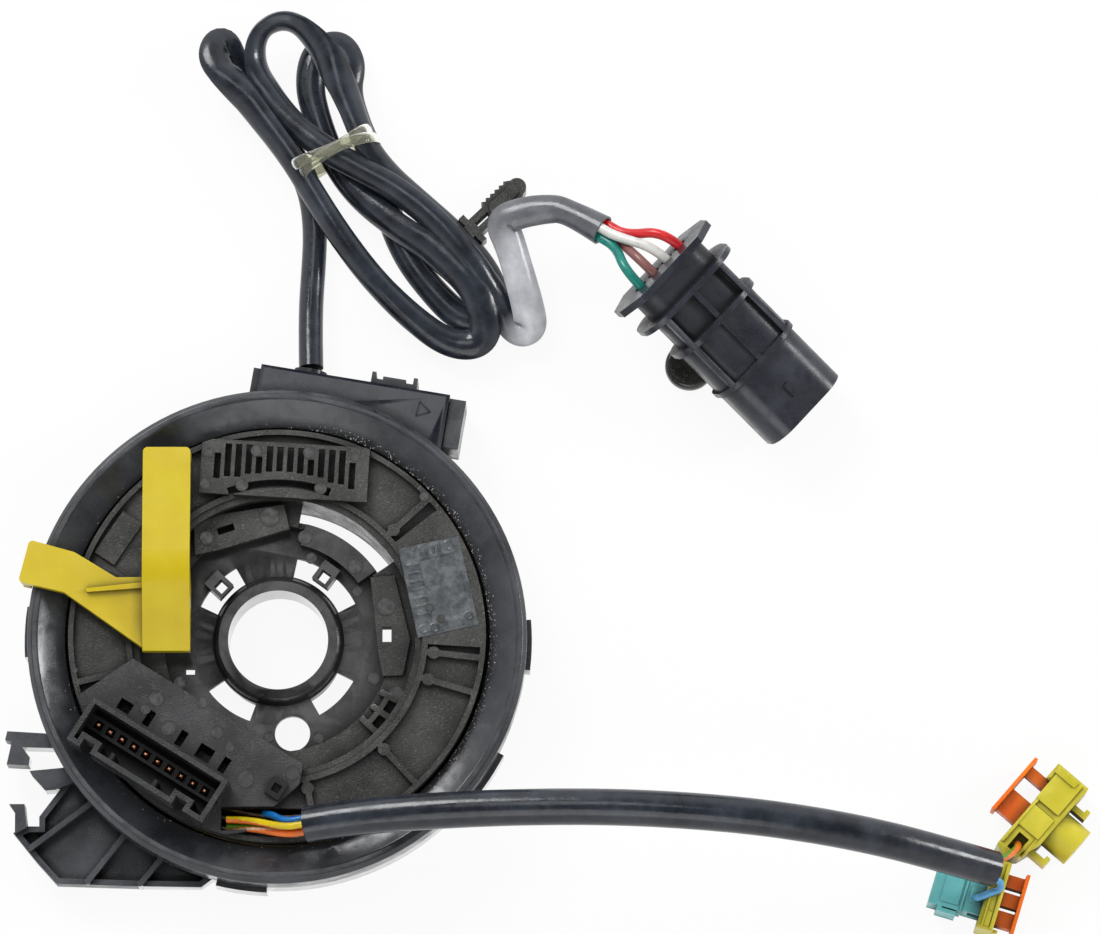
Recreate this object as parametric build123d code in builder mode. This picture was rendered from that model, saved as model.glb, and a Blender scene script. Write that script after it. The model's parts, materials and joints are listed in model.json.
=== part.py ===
from build123d import *
import math
import os

# Steering clock spring. Millimetres, +Z up, origin on the turning axis at the
# level of the surface that the base stands on.

os.makedirs("parts", exist_ok=True)

# ---- running and seating clearances ----
run_gap = 0.7        # rotor rim to stator ring, all round
foot_gap = 0.3       # turning foot over or under a still face
slide_gap = 0.3      # a lock leg in its slot
seat_gap = 0.15      # a moulding dropped into another

# ---- stator ring and base cup ----
ring_in_r = 44.4
ring_wide = 7.9
ring_top = 18.5
band_rise = 1.9
band_thick = 1.5
skirt_bottom = 10.6
cup_wall = 1.8
cup_rim = 13.6
cup_floor_under = 1.6
cup_floor_thick = 1.4

# ---- rotor ----
face_top = 18.0
face_floor = 16.6
face_thick = 1.2
rim_wall = 1.1
drum_r = 30.4
drum_wall = 1.4
inner_rib_wall = 1.2
shelf_in_r = 24.0
shelf_top = 13.2
shelf_thick = 1.2
hub_plate_r = 25.2
hub_plate_top = 10.2
hub_plate_thick = 1.6
bore_r = 10.5
collar_wall = 2.9
collar_bottom = 0.6
collar_rise = 1.2
retainer_thick = 0.9
retainer_lap = 2.4

# ---- ten-way header ----
header_turn = -32.0
plate_thick = 1.7
plate_edge = -20.3
plate_left = -22.6
plate_right = 19.4
shroud_long = 33.2
shroud_wide = 10.4
shroud_u = -7.4
shroud_top = 29.0
shroud_wall = 1.1
shroud_floor = 20.8
pin_count = 10
pin_pitch = 2.9
pin_side = 0.7
pin_top = 25.4
cell_side = 1.8

# ---- lead sizes ----
lead_d = 5.4
sleeve_d = 7.6
core_d = 2.1
thin_core_d = 1.5

# ---- four-way plug ----
plug_long = 42.0
plug_wide = 20.5
plug_high = 13.6
plug_wall = 1.4
plug_tilt = 19.0
plug_turn = -42.7


def polar(radius, angle):
    """Point at a radius and an angle in degrees about the axis."""
    return (radius * math.cos(math.radians(angle)), radius * math.sin(math.radians(angle)))


def ring_sector(r_in, r_out, start, end):
    """Flat face between two radii and two angles about the axis."""
    with BuildSketch() as face:
        with BuildLine():
            CenterArc((0, 0), r_out, start, end - start)
            CenterArc((0, 0), r_in, start, end - start)
            Line(polar(r_in, start), polar(r_out, start))
            Line(polar(r_in, end), polar(r_out, end))
        make_face()
    return face.sketch


def radial_bar(r_in, r_out, angle, width):
    """Flat bar of one width that runs outwards at an angle."""
    with BuildSketch() as face:
        with Locations(Location((0, 0, 0), (0, 0, angle))):
            with Locations(((r_in + r_out) / 2, 0)):
                Rectangle(r_out - r_in, width)
    return face.sketch


def save(piece, name):
    """Label a finished piece and write its file."""
    piece.part.label = name
    export_step(piece.part, f"parts/{name}.step")


def corner_radii(points):
    """Arc at each inner point of a route, as large as its two runs allow."""
    radii = []
    for before, here, after in zip(points, points[1:], points[2:]):
        run_in = Vector(*here) - Vector(*before)
        run_out = Vector(*after) - Vector(*here)
        half_turn = math.radians(run_in.get_angle(run_out) / 2)
        radii.append(0.45 * min(run_in.length, run_out.length) / math.tan(half_turn))
    return radii


def tube(points, diameter, name):
    """Round cord along straight runs joined by arcs, with its check figures."""
    radii = corner_radii(points)
    with BuildPart() as cord:
        with BuildLine() as route:
            FilletPolyline(*points, radius=radii)
        with BuildSketch(Plane(origin=route.line @ 0, z_dir=route.line % 0)):
            Circle(diameter / 2)
        sweep()
    section = math.pi * diameter**2 / 4
    length = sum(edge.length for edge in route.edges())
    share = cord.part.volume / (section * length)
    print(f"{name}: length {length:.1f}, radii {[round(r, 1) for r in radii]}, volume ratio {share:.4f}")
    return cord


# ---- derived places ----
ring_out_r = ring_in_r + ring_wide
ring_lip_r = ring_out_r - 1.5
face_r = ring_in_r - run_gap
face_under = face_floor - face_thick
drum_in_r = drum_r - drum_wall
inner_rib_r = drum_r + inner_rib_wall
cup_r = ring_out_r - 0.6
cup_in_r = cup_r - cup_wall
cup_floor_top = cup_floor_under + cup_floor_thick
cup_hole_r = drum_r + 0.6
retainer_top = cup_floor_under - foot_gap
collar_r = bore_r + collar_wall
shelf_under = shelf_top - shelf_thick
collar_top = hub_plate_top + collar_rise
shroud_v = 6.2 - face_r
wire_slot = (-2.9, 4.8 - face_r)
wire_slot_size = (17.0, 5.0)
light_window = (22.9, 0.8)
light_window_size = (1.9, 3.3)
box_back = ring_out_r + 5.1
plug_rear = (81.4, box_back + 19.8, 20.4)

# =====================================================================
# base_housing: cup with floor, wall, bracket, hooks and edge tabs
# =====================================================================
upstand = 1.2
bracket_floor = 2.0
bracket_plate = 1.6
bracket_rib_top = 8.6
bracket_rib = 1.2
hook_bottom = 3.0
hook_top = 9.0
tab_long = 10.5
tab_out = 1.6
tab_bottom = 4.0
tab_angles = (178.0, 262.0, 327.0, 359.0)
# outlines as distance beyond the cup's wall and angle about the axis
bracket_edge = (
    (-0.1, 212.8),
    (10.4, 216.4),
    (11.6, 217.9),
    (13.5, 216.6),
    (16.8, 216.0),
    (16.8, 222.6),
    (17.1, 227.8),
    (7.0, 241.4),
    (2.4, 252.9),
    (-0.1, 255.0),
)
bracket_ribs = (
    ((-0.4, 221.2), (15.9, 220.2)),
    ((-0.4, 232.0), (12.6, 232.0)),
    ((-0.4, 242.3), (6.9, 240.8)),
)
hook_edges = (
    ((14.2, 211.5), (11.5, 213.0), (13.9, 216.9), (16.6, 216.5), (14.1, 213.4)),
    (
        (-1.1, 202.8),
        (8.2, 198.5),
        (9.2, 200.0),
        (8.0, 200.8),
        (10.8, 204.6),
        (6.7, 206.7),
        (5.8, 205.3),
        (6.4, 202.7),
        (-0.4, 206.2),
    ),
    ((-0.6, 211.4), (7.1, 207.8), (7.1, 209.1), (6.3, 213.0), (4.5, 214.0), (-0.8, 215.3)),
)

with BuildPart() as base_housing:
    with BuildSketch(Plane.XZ):
        with BuildLine():
            Polyline(
                (cup_hole_r, cup_floor_under),
                (cup_in_r, cup_floor_under),
                (cup_in_r, 0),
                (cup_r, 0),
                (cup_r, cup_rim),
                (cup_in_r, cup_rim),
                (cup_in_r, cup_floor_top),
                (cup_hole_r + upstand, cup_floor_top),
                (cup_hole_r + upstand, cup_floor_top + upstand),
                (cup_hole_r, cup_floor_top + upstand),
                close=True,
            )
        make_face()
    revolve(axis=Axis.Z)
    # bracket at the lower left: a plate with a raised edge and cross ribs
    with BuildSketch(Plane.XY.offset(bracket_floor)) as bracket_plan:
        with BuildLine():
            Polyline(*[polar(cup_r + beyond, angle) for beyond, angle in bracket_edge], close=True)
        make_face()
        Circle(cup_r - cup_wall / 2, mode=Mode.SUBTRACT)
    extrude(amount=bracket_plate)
    with BuildSketch(Plane.XY.offset(bracket_floor)):
        add(bracket_plan.sketch.face().moved(Location((0, 0, -bracket_floor))))
        offset(amount=-bracket_rib, kind=Kind.INTERSECTION, mode=Mode.SUBTRACT)
    extrude(amount=bracket_rib_top - bracket_floor - bracket_plate)
    with BuildSketch(Plane.XY.offset(bracket_floor + bracket_plate / 2)):
        for foot, tip in bracket_ribs:
            with BuildLine():
                rib_line = Line(polar(cup_r + foot[0], foot[1]), polar(cup_r + tip[0], tip[1]))
                offset(rib_line, amount=bracket_rib / 2)
            make_face()
    extrude(amount=bracket_rib_top - bracket_floor - bracket_plate / 2)
    # snap hooks above the bracket
    with BuildSketch(Plane.XY.offset(hook_bottom)):
        for edge in hook_edges:
            with BuildLine():
                Polyline(*[polar(cup_r + beyond, angle) for beyond, angle in edge], close=True)
            make_face()
        Circle(cup_r - cup_wall / 2, mode=Mode.SUBTRACT)
    extrude(amount=hook_top - hook_bottom)
    # clip tabs round the edge
    for angle in tab_angles:
        with BuildSketch(Plane.XY.offset(tab_bottom)):
            half_tab = math.degrees(tab_long / 2 / cup_r)
            add(ring_sector(cup_r - cup_wall / 2, cup_r + tab_out, angle - half_tab, angle + half_tab))
        extrude(amount=skirt_bottom - seat_gap - tab_bottom)
save(base_housing, "base_housing")

# =====================================================================
# ring_cover: the wide ring that closes the cup, with a sloping band
# =====================================================================
notch_angle = 65.0
notch_long = 3.6

with BuildPart() as ring_cover:
    with BuildSketch(Plane.XZ):
        with BuildLine():
            Polyline(
                (ring_in_r, ring_top - band_rise - band_thick - 1.0),
                (ring_in_r, ring_top - band_rise - 0.8),
                (ring_lip_r - 1.8, ring_top - 0.9),
                (ring_lip_r - 0.7, ring_top),
                (ring_lip_r + 0.6, ring_top),
                (ring_out_r, ring_top - 1.1),
                (ring_out_r, skirt_bottom),
                (cup_r + seat_gap, skirt_bottom),
                (cup_r + seat_gap, cup_rim),
                (cup_in_r - 1.2, cup_rim),
                (cup_in_r - 1.8, ring_top - band_rise - band_thick),
                (ring_in_r + 1.2, ring_top - band_rise - band_thick - 1.0),
                close=True,
            )
        make_face()
    revolve(axis=Axis.Z)
    half_notch = math.degrees(notch_long / 2 / ring_out_r)
    with BuildSketch(Plane.XY.offset(ring_top - 1.4)):
        add(ring_sector(ring_out_r - 0.9, ring_out_r + 1, notch_angle - half_notch, notch_angle + half_notch))
    extrude(amount=2, mode=Mode.SUBTRACT)
save(ring_cover, "ring_cover")

# =====================================================================
# flat_cable: flat ribbon wound in the chamber round the rotor's drum
# =====================================================================
ribbon_thick = 0.5
ribbon_step = 1.05
ribbon_first_r = drum_r + 3.8
ribbon_side = 2.5
ribbon_half_turns = 2 * int((cup_in_r - ribbon_side - ribbon_first_r) / (2 * ribbon_step))
ribbon_top = cup_rim - 0.6

with BuildPart() as flat_cable:
    with BuildSketch(Plane.XY.offset(cup_floor_top)):
        with BuildLine():
            for turn in range(ribbon_half_turns):
                radius = ribbon_first_r + ribbon_step * turn
                centre = (ribbon_step * (turn % 2), 0)
                CenterArc(centre, radius, 180 * (turn % 2), 180)
                CenterArc(centre, radius + ribbon_thick, 180 * (turn % 2), 180)
            Line((ribbon_first_r, 0), (ribbon_first_r + ribbon_thick, 0))
            last_r = ribbon_first_r + ribbon_step * ribbon_half_turns
            Line((last_r, 0), (last_r + ribbon_thick, 0))
        make_face()
    extrude(amount=ribbon_top - cup_floor_top)
save(flat_cable, "flat_cable")

# =====================================================================
# rotor_face: ribbed disc, drum and inner shelf, moulded in one
# =====================================================================
rib_angles = (42.5, -6.5, -16.5, -47.0, -78.5, 193.5, 160.0, 128.0)
rib_wide = 1.3
label_pad = (-3.5, 38.5)
cover_plate = ((19.4, 12.9), (24.4, 13.3), (27.8, -0.3), (26.3, -7.9), (22.1, -8.1), (21.2, -3.7))
cover_plate_high = 0.9
tablet_size = (10.6, 5.0)
tablet_turn = 56.4
tablet_high = 0.7
arm_points = ((-17.7, 23.6), (-12.4, 26.0), (1.2, 28.2), (2.4, 23.0), (-12.8, 18.4), (-17.4, 17.4))
arm_window = (-11.0, 22.9)
slot_start = 34.0
slot_end = 80.0
lock_pin_r = 1.6
lock_pin_at = polar((inner_rib_r + face_r - rim_wall) / 2 - 0.7, 166.3)
tablet_at = polar((inner_rib_r + face_r - rim_wall) / 2 + 2.2, 148.2)

with BuildPart() as rotor_face:
    # drum, pocket floor, rim and inner rib turned about the axis
    with BuildSketch(Plane.XZ):
        with BuildLine():
            Polyline(
                (drum_in_r, retainer_top),
                (drum_r, retainer_top),
                (drum_r, face_under),
                (face_r, face_under - 1.2),
                (face_r, face_top),
                (face_r - rim_wall, face_top),
                (face_r - rim_wall, face_floor),
                (inner_rib_r, face_floor),
                (inner_rib_r, face_top),
                (drum_r, face_top),
                (drum_r, face_top - 0.6),
                (drum_in_r, face_top - 0.6),
                close=True,
            )
        make_face()
    revolve(axis=Axis.Z)
    # radial ribs with a round boss at their inner ends
    with BuildSketch(Plane.XY.offset(face_under)):
        for angle in rib_angles:
            add(radial_bar(inner_rib_r - 0.4, face_r - rim_wall / 2, angle, rib_wide))
            with Locations(polar(inner_rib_r + 1.4, angle)):
                Circle(rib_wide)
    extrude(amount=face_top - face_under)
    # raised tablet in the left pocket
    with BuildSketch(Plane.XY.offset(face_floor)):
        with Locations(Location((*tablet_at, 0), (0, 0, tablet_turn))):
            Rectangle(*tablet_size)
    extrude(amount=tablet_high)
    # seat of the label, shelf inside the drum, cover plate and arm on it
    with BuildSketch(Plane.XY.offset(face_under)):
        add(ring_sector(drum_r, face_r - rim_wall / 2, *label_pad))
    extrude(amount=face_top - face_under)
    with BuildSketch(Plane.XY.offset(shelf_under)):
        add(ring_sector(shelf_in_r, drum_in_r + drum_wall / 2, slot_end, slot_start + 360))
    extrude(amount=shelf_thick)
    with BuildSketch(Plane.XY.offset(shelf_under)):
        with BuildLine():
            Polyline(*cover_plate, close=True)
        make_face()
    extrude(amount=shelf_thick + cover_plate_high)
    with BuildSketch(Plane.XY.offset(shelf_top)):
        with BuildLine():
            Polyline(*arm_points, close=True)
        make_face()
        with Locations(Location((*arm_window, 0), (0, 0, 18))):
            Rectangle(3.6, 1.5, mode=Mode.SUBTRACT)
    extrude(amount=face_under - shelf_top)
    # stiffening bars on the shelf at the lower right
    with BuildSketch(Plane.XY.offset(shelf_top)):
        for angle in (-28.0, -36.0, -44.0):
            add(radial_bar(shelf_in_r + 0.4, drum_in_r + drum_wall / 2, angle, rib_wide))
        add(ring_sector(shelf_in_r + 1.8, shelf_in_r + 2.9, -44, -28))
    extrude(amount=1.6)
    # hole for the lock's pin, slot for the wires, light window
    with Locations((*lock_pin_at, face_top)):
        Hole(lock_pin_r + slide_gap)
    with BuildSketch(Plane.XY.offset(face_under - 2)):
        with Locations(wire_slot):
            Rectangle(*wire_slot_size)
    extrude(amount=face_top - face_under + 4, mode=Mode.SUBTRACT)
    with BuildSketch(Plane.XY.offset(shelf_under)):
        with Locations(light_window):
            Rectangle(*light_window_size)
    extrude(amount=shelf_thick + cover_plate_high, mode=Mode.SUBTRACT)
save(rotor_face, "rotor_face")

# =====================================================================
# rotor_hub: bore collar on a windowed plate that carries the disc's shelf
# =====================================================================
window_in_r = collar_r + 0.6
window_out_r = window_in_r + 4.0
window_spans = ((120.0, 156.0), (26.0, 77.5), (-61.0, -28.0), (216.0, 251.0))
hook_angles = (137.0, 54.0)
hook_wide = 4.0
hook_deep = 4.6
hook_thick = 0.9
hook_rise = 2.6
pin_hole_r = 3.7
pin_hole_at = (3.1, -19.7)
small_window = (-18.4, -6.6)
small_window_size = (1.9, 1.2)

with BuildPart() as rotor_hub:
    with BuildSketch(Plane.XZ):
        with BuildLine():
            Polyline(
                (bore_r, collar_bottom),
                (collar_r - 0.8, collar_bottom),
                (collar_r, collar_bottom + 0.8),
                (collar_r, hub_plate_top - hub_plate_thick - 0.8),
                (window_out_r, hub_plate_top - hub_plate_thick),
                (hub_plate_r, hub_plate_top - hub_plate_thick),
                (hub_plate_r, shelf_under),
                (shelf_in_r, shelf_under),
                (shelf_in_r, hub_plate_top),
                (window_out_r, hub_plate_top),
                (collar_r + 0.4, hub_plate_top - 0.8),
                (collar_r - 0.3, collar_top - 0.4),
                (collar_r - 0.9, collar_top),
                (bore_r, collar_top),
                close=True,
            )
        make_face()
    revolve(axis=Axis.Z)
    # raised pad beside the arc slot
    with BuildSketch(Plane.XY.offset(hub_plate_top - hub_plate_thick)):
        add(ring_sector(shelf_in_r - 3.4, hub_plate_r, slot_start + 1.5, slot_end - 3))
    extrude(amount=shelf_top - 0.8 - hub_plate_top + hub_plate_thick)
    # windows round the collar, the drive peg's hole and two small openings
    with BuildSketch(Plane.XY):
        for start, end in window_spans:
            add(ring_sector(window_in_r, window_out_r, start, end))
        with Locations(pin_hole_at):
            Circle(pin_hole_r)
        with Locations(light_window):
            Rectangle(light_window_size[0] + 0.3, light_window_size[1] + 0.3)
        with Locations(small_window):
            Rectangle(*small_window_size)
    extrude(amount=collar_top, mode=Mode.SUBTRACT)
    # snap hooks at the outer edge of the upper windows
    for angle in hook_angles:
        hook_place = polar(window_out_r - hook_thick, angle)
        hook_plane = Plane(origin=(*hook_place, hub_plate_top - hub_plate_thick), z_dir=(0, 0, 1))
        with BuildSketch(hook_plane.rotated((0, 0, angle - 90))):
            Rectangle(hook_wide, hook_deep)
            with Locations((0, -hook_deep / 6)):
                Rectangle(hook_wide - 2 * hook_thick, hook_deep / 2, mode=Mode.SUBTRACT)
        extrude(amount=hub_plate_thick + hook_rise)
save(rotor_hub, "rotor_hub")

# =====================================================================
# rotor_retainer: ring under the cup's floor that keeps the rotor in
# =====================================================================
with BuildPart() as rotor_retainer:
    with BuildSketch(Plane.XY.offset(retainer_top - retainer_thick)):
        Circle(drum_r + retainer_lap)
        Circle(drum_in_r, mode=Mode.SUBTRACT)
    extrude(amount=retainer_thick)
save(rotor_retainer, "rotor_retainer")

# =====================================================================
# terminal_cover: grille panel over the cable's ends, with fourteen slots
# =====================================================================
panel_x = 1.05
panel_wide = 35.2
panel_deep = face_r - drum_r - 1.7
panel_foot = drum_r - 1.4
panel_turn = -3.4
panel_thick = 1.3
slot_count = 14
slot_pitch = 2.18
slot_wide = 1.35
lens_deep = 0.147 * panel_deep
lens_span = (70.0, 109.0)
# each slot's length, and its distance from the upper edge, as shares of the depth
slot_long = (0.466, 0.603, 0.603, 0.534, 0.31, 0.466, 0.448, 0.448, 0.466, 0.293, 0.517, 0.603, 0.621, 0.483)
slot_drop = (0.25, 0.069, 0.069, 0.069, 0.276, 0.078, 0.078, 0.078, 0.078, 0.276, 0.078, 0.078, 0.078, 0.293)

with BuildPart() as terminal_cover:
    panel_plane = Plane(origin=(panel_x, panel_foot, face_top), z_dir=(0, 0, 1)).rotated((0, 0, panel_turn))
    with BuildSketch(panel_plane):
        with Locations((0, panel_deep / 2)):
            Rectangle(panel_wide, panel_deep)
        for number, (tall, drop) in enumerate(zip(slot_long, slot_drop)):
            place = (number - (slot_count - 1) / 2) * slot_pitch
            with Locations((place, panel_deep * (1 - drop - tall / 2))):
                Rectangle(slot_wide, panel_deep * tall, mode=Mode.SUBTRACT)
    extrude(amount=panel_thick)
    # trim the corners to the turning circle
    with BuildSketch(Plane.XY.offset(face_top)):
        Circle(face_r)
        add(ring_sector(inner_rib_r - 0.5, inner_rib_r - 0.5 + lens_deep, *lens_span), mode=Mode.SUBTRACT)
    extrude(amount=panel_thick, mode=Mode.INTERSECT)
save(terminal_cover, "terminal_cover")

# =====================================================================
# face_label: bare film label on the disc
# =====================================================================
label_size = (13.0, 19.4)
label_at = polar(drum_r + 4.8, 16.8)
label_turn = 12.5
label_thick = 0.15

with BuildPart() as face_label:
    with BuildSketch(Plane.XY.offset(face_top)):
        with Locations(Location((*label_at, 0), (0, 0, label_turn))):
            RectangleRounded(*label_size, 0.8)
    extrude(amount=label_thick)
save(face_label, "face_label")

# =====================================================================
# header_housing: plate over the lower left of the disc, with the shroud
# =====================================================================
header_low = Plane(origin=(0, 0, face_top), x_dir=(*polar(1, header_turn), 0), z_dir=(0, 0, 1))
notch_wide = 2.6
notch_deep = 2.0
notch_places = (-12.2, 10.4)
key_places = (-6.8, 3.7)
key_thick = 0.8
key_long = 1.7
post_at = (17.5, -27.6)
post_size = (3.4, 4.0)
post_hole = 1.8
post_rise = 1.2
terrace_v = shroud_v + 1.1
terrace_wide = 3.2
terrace_top = 24.0
window_places = ((-18.6, 2.4, 3.0), (-13.0, 3.4, 1.6), (-5.0, 3.4, 1.6), (0.8, 3.2, 3.4), (5.6, 3.4, 1.6))

with BuildPart() as header_housing:
    with BuildSketch(header_low):
        with BuildLine():
            Polyline(
                (plate_left, plate_edge),
                (plate_right, plate_edge),
                (plate_right + 1.6, plate_edge - 4.0),
                (plate_right - 2.6, shroud_v - 1.1),
                (10.6, shroud_v - 6.5),
                (-8.0, shroud_v - 6.5),
                (plate_left - 6.0, shroud_v + 3.5),
                close=True,
            )
        make_face()
        Circle(face_r - 0.2, mode=Mode.INTERSECT)
        for place, tall, wide in window_places:
            with Locations((place, shroud_v + shroud_wide / 2 + 1.4 + tall / 2)):
                Rectangle(wide, tall, mode=Mode.SUBTRACT)
    extrude(amount=plate_thick)
    # wire slot stays open through the plate
    with BuildSketch(Plane.XY.offset(face_top - 1)):
        with Locations(wire_slot):
            Rectangle(*wire_slot_size)
    extrude(amount=plate_thick + 2, mode=Mode.SUBTRACT)
    # wall down to the shelf along the hub side
    with BuildSketch(header_low.offset(shelf_top + seat_gap - face_top)):
        with Locations(((plate_left + plate_right) / 2, plate_edge - 0.7)):
            Rectangle(plate_right - plate_left - 4, 1.4)
        Circle(drum_in_r - seat_gap, mode=Mode.INTERSECT)
    extrude(amount=face_top - shelf_top - seat_gap)
    # shroud with two keying notches in its outer wall
    with BuildSketch(header_low.offset(ring_top + foot_gap - face_top)) as shroud_plan:
        with Locations((shroud_u, shroud_v)):
            Rectangle(shroud_long, shroud_wide)
        for place in notch_places:
            with Locations((shroud_u + place, shroud_v - shroud_wide / 2 + notch_deep / 2)):
                Rectangle(notch_wide, notch_deep, mode=Mode.SUBTRACT)
    extrude(amount=shroud_top - ring_top - foot_gap)
    with BuildSketch(header_low.offset(shroud_floor - face_top)):
        with Locations((shroud_u, shroud_v)):
            Rectangle(shroud_long - 2 * shroud_wall, shroud_wide - 2 * shroud_wall)
        for place in notch_places:
            with Locations((shroud_u + place, shroud_v - shroud_wide / 2 + notch_deep / 2)):
                Rectangle(notch_wide + 2 * shroud_wall, notch_deep + 2 * shroud_wall, mode=Mode.SUBTRACT)
    extrude(amount=shroud_top - shroud_floor + 1, mode=Mode.SUBTRACT)
    # terrace with a cell for each pin
    with BuildSketch(header_low.offset(shroud_floor - face_top)):
        with Locations((shroud_u, terrace_v)):
            Rectangle(shroud_long - 2 * shroud_wall, terrace_wide)
            with GridLocations(pin_pitch, 1, pin_count, 1):
                Rectangle(cell_side, cell_side, mode=Mode.SUBTRACT)
    extrude(amount=terrace_top - shroud_floor)
    # key ribs inside the outer wall, and a hollow latch post on the plate
    with BuildSketch(header_low.offset(shroud_floor - face_top)):
        for place in key_places:
            with Locations((shroud_u + place, shroud_v - shroud_wide / 2 + shroud_wall + key_long / 2 - 0.1)):
                Rectangle(key_thick, key_long)
    extrude(amount=shroud_top - shroud_floor - 1.2)
    with BuildSketch(header_low.offset(plate_thick)):
        with Locations(post_at):
            Rectangle(*post_size)
            Rectangle(post_hole, post_hole, mode=Mode.SUBTRACT)
    extrude(amount=post_rise)
save(header_housing, "header_housing")

# header_pins: ten contacts standing in the cells
with BuildPart() as header_pins:
    with BuildSketch(header_low.offset(shroud_floor - face_top)):
        with Locations((shroud_u, terrace_v)):
            with GridLocations(pin_pitch, 1, pin_count, 1):
                Rectangle(pin_side, pin_side)
    extrude(amount=pin_top - shroud_floor)
    chamfer(header_pins.faces().filter_by(Axis.Z).group_by(Axis.Z)[-1].edges(), length=0.2)
save(header_pins, "header_pins")

# =====================================================================
# transport_lock: pull-off lock, a raised strap with an arm over the ring
# =====================================================================
strap_left = -27.9
strap_wide = 9.9
strap_top = 27.0
strap_thick = 2.4
strap_far = 38.3
strap_bend = 13.0
strap_near = -3.9
strap_low = 21.4
arm_bottom = ring_top + foot_gap
arm_top = arm_bottom + 2.4
claw_gap = 0.4
claw_thick = 1.7
claw_bottom = 14.3
arm_corner = 0.9

with BuildPart() as transport_lock:
    # strap, seen from the side: flat, then sloping down to the hub
    with BuildSketch(Plane.YZ.offset(strap_left)):
        with BuildLine():
            Polyline(
                (strap_near, arm_bottom),
                (strap_near, strap_low),
                (strap_bend, strap_top),
                (strap_far, strap_top),
                (strap_far, strap_top - strap_thick - 2.0),
                (strap_far - strap_thick, strap_top - strap_thick - 2.0),
                (strap_far - strap_thick, strap_top - strap_thick),
                (strap_bend + 1.0, strap_top - strap_thick),
                (strap_bend - 3.0, arm_bottom),
                close=True,
            )
        make_face()
    extrude(amount=strap_wide)
    fillet(transport_lock.edges().filter_by(Axis.Z).group_by(Axis.Y)[-1], radius=1.0)
    # arm out over the ring
    with BuildSketch(Plane.XY.offset(arm_bottom)) as arm_plan:
        with BuildLine():
            Polyline(
                (strap_left + 1, 11.7),
                (-33.6, 11.7),
                polar(ring_in_r + 1.2, 158.1),
                polar(ring_out_r + 3.1, 159.2),
                polar(ring_out_r + 2.8, 168.7),
                polar(ring_in_r + 0.9, 169.1),
                (strap_left + 1, strap_near),
                close=True,
            )
        make_face()
        far_corners = arm_plan.vertices().group_by(Axis.X)[0] + arm_plan.vertices().group_by(Axis.X)[1]
        fillet(far_corners, radius=arm_corner)
    extrude(amount=arm_top - arm_bottom)
    # claw outside the ring
    claw_in_r = ring_out_r + claw_gap
    with BuildSketch(Plane.XY.offset(claw_bottom)):
        add(ring_sector(claw_in_r, claw_in_r + claw_thick, 159.4, 168.6))
    extrude(amount=arm_top - claw_bottom)
    # stiffening rib along the arm, feet on the disc and the locating pin
    with BuildSketch(Plane.XY.offset(arm_top)):
        with BuildLine():
            Polyline((strap_left + 1, 10.6), (strap_left + 1, 9.4), (-39.6, 8.4), (-39.8, 9.2), close=True)
        make_face()
    extrude(amount=1.0)
    with BuildSketch(Plane.XY.offset(face_top)):
        with Locations(lock_pin_at):
            Circle(lock_pin_r + 1.0)
        with Locations((strap_left + strap_wide / 2 - 1, strap_near + 4.4)):
            Rectangle(5.0, 2.4)
    extrude(amount=arm_bottom - face_top)
    with BuildSketch(Plane.XY.offset(face_floor)):
        with Locations(lock_pin_at):
            Circle(lock_pin_r)
    extrude(amount=face_top - face_floor)
save(transport_lock, "transport_lock")

# =====================================================================
# sensor_housing and sensor_bracket: glossy box at the top edge in a frame
# =====================================================================
box_turn = -9.5
box_left = -13.5
box_right = 26.9
box_deep = 18.0
box_top = 13.4
clip_at = 14.6
clip_wide = 9.8
clip_thick = 1.4
clip_tall = 8.0
ear_thick = 0.9
side_plates = ((box_left, 1.5, 5.4, 9.0), (box_right, 3.4, 10.6, 10.4))
bracket_base = 1.5
frame_lap = 1.3
lead_exit_z = 5.6
lead_boss = 1.5
exit_x = 6.1
box_along = Plane(origin=(0, 0, bracket_base), x_dir=(*polar(1, box_turn), 0), z_dir=(0, 0, 1))
exit_u = (exit_x + box_back * math.sin(math.radians(box_turn))) / math.cos(math.radians(box_turn))
exit_y = exit_u * math.sin(math.radians(box_turn)) + box_back * math.cos(math.radians(box_turn))
box_cut_r = ring_out_r + seat_gap

with BuildPart() as sensor_housing:
    with BuildSketch(box_along) as box_plan:
        with Locations(((box_left + box_right) / 2, box_back - box_deep / 2)):
            Rectangle(box_right - box_left, box_deep)
        Circle(box_cut_r, mode=Mode.SUBTRACT)
    extrude(amount=box_top - bracket_base)
    back_edges = sensor_housing.edges().filter_by(GeomType.LINE).group_by(Axis.Z)[-1]
    chamfer(back_edges, length=0.7)
    with BuildSketch(box_along.offset(box_top - bracket_base - 0.8)):
        for place in (5.0, 8.2):
            with Locations((place, box_back - 5.6)):
                Rectangle(1.9, 0.9)
    extrude(amount=1, mode=Mode.SUBTRACT)
    with BuildSketch(Plane(origin=(exit_x, exit_y, lead_exit_z), z_dir=(*polar(1, 90 + box_turn), 0))):
        Circle(lead_d / 2 + 0.8)
    extrude(amount=lead_boss)
save(sensor_housing, "sensor_housing")

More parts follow.
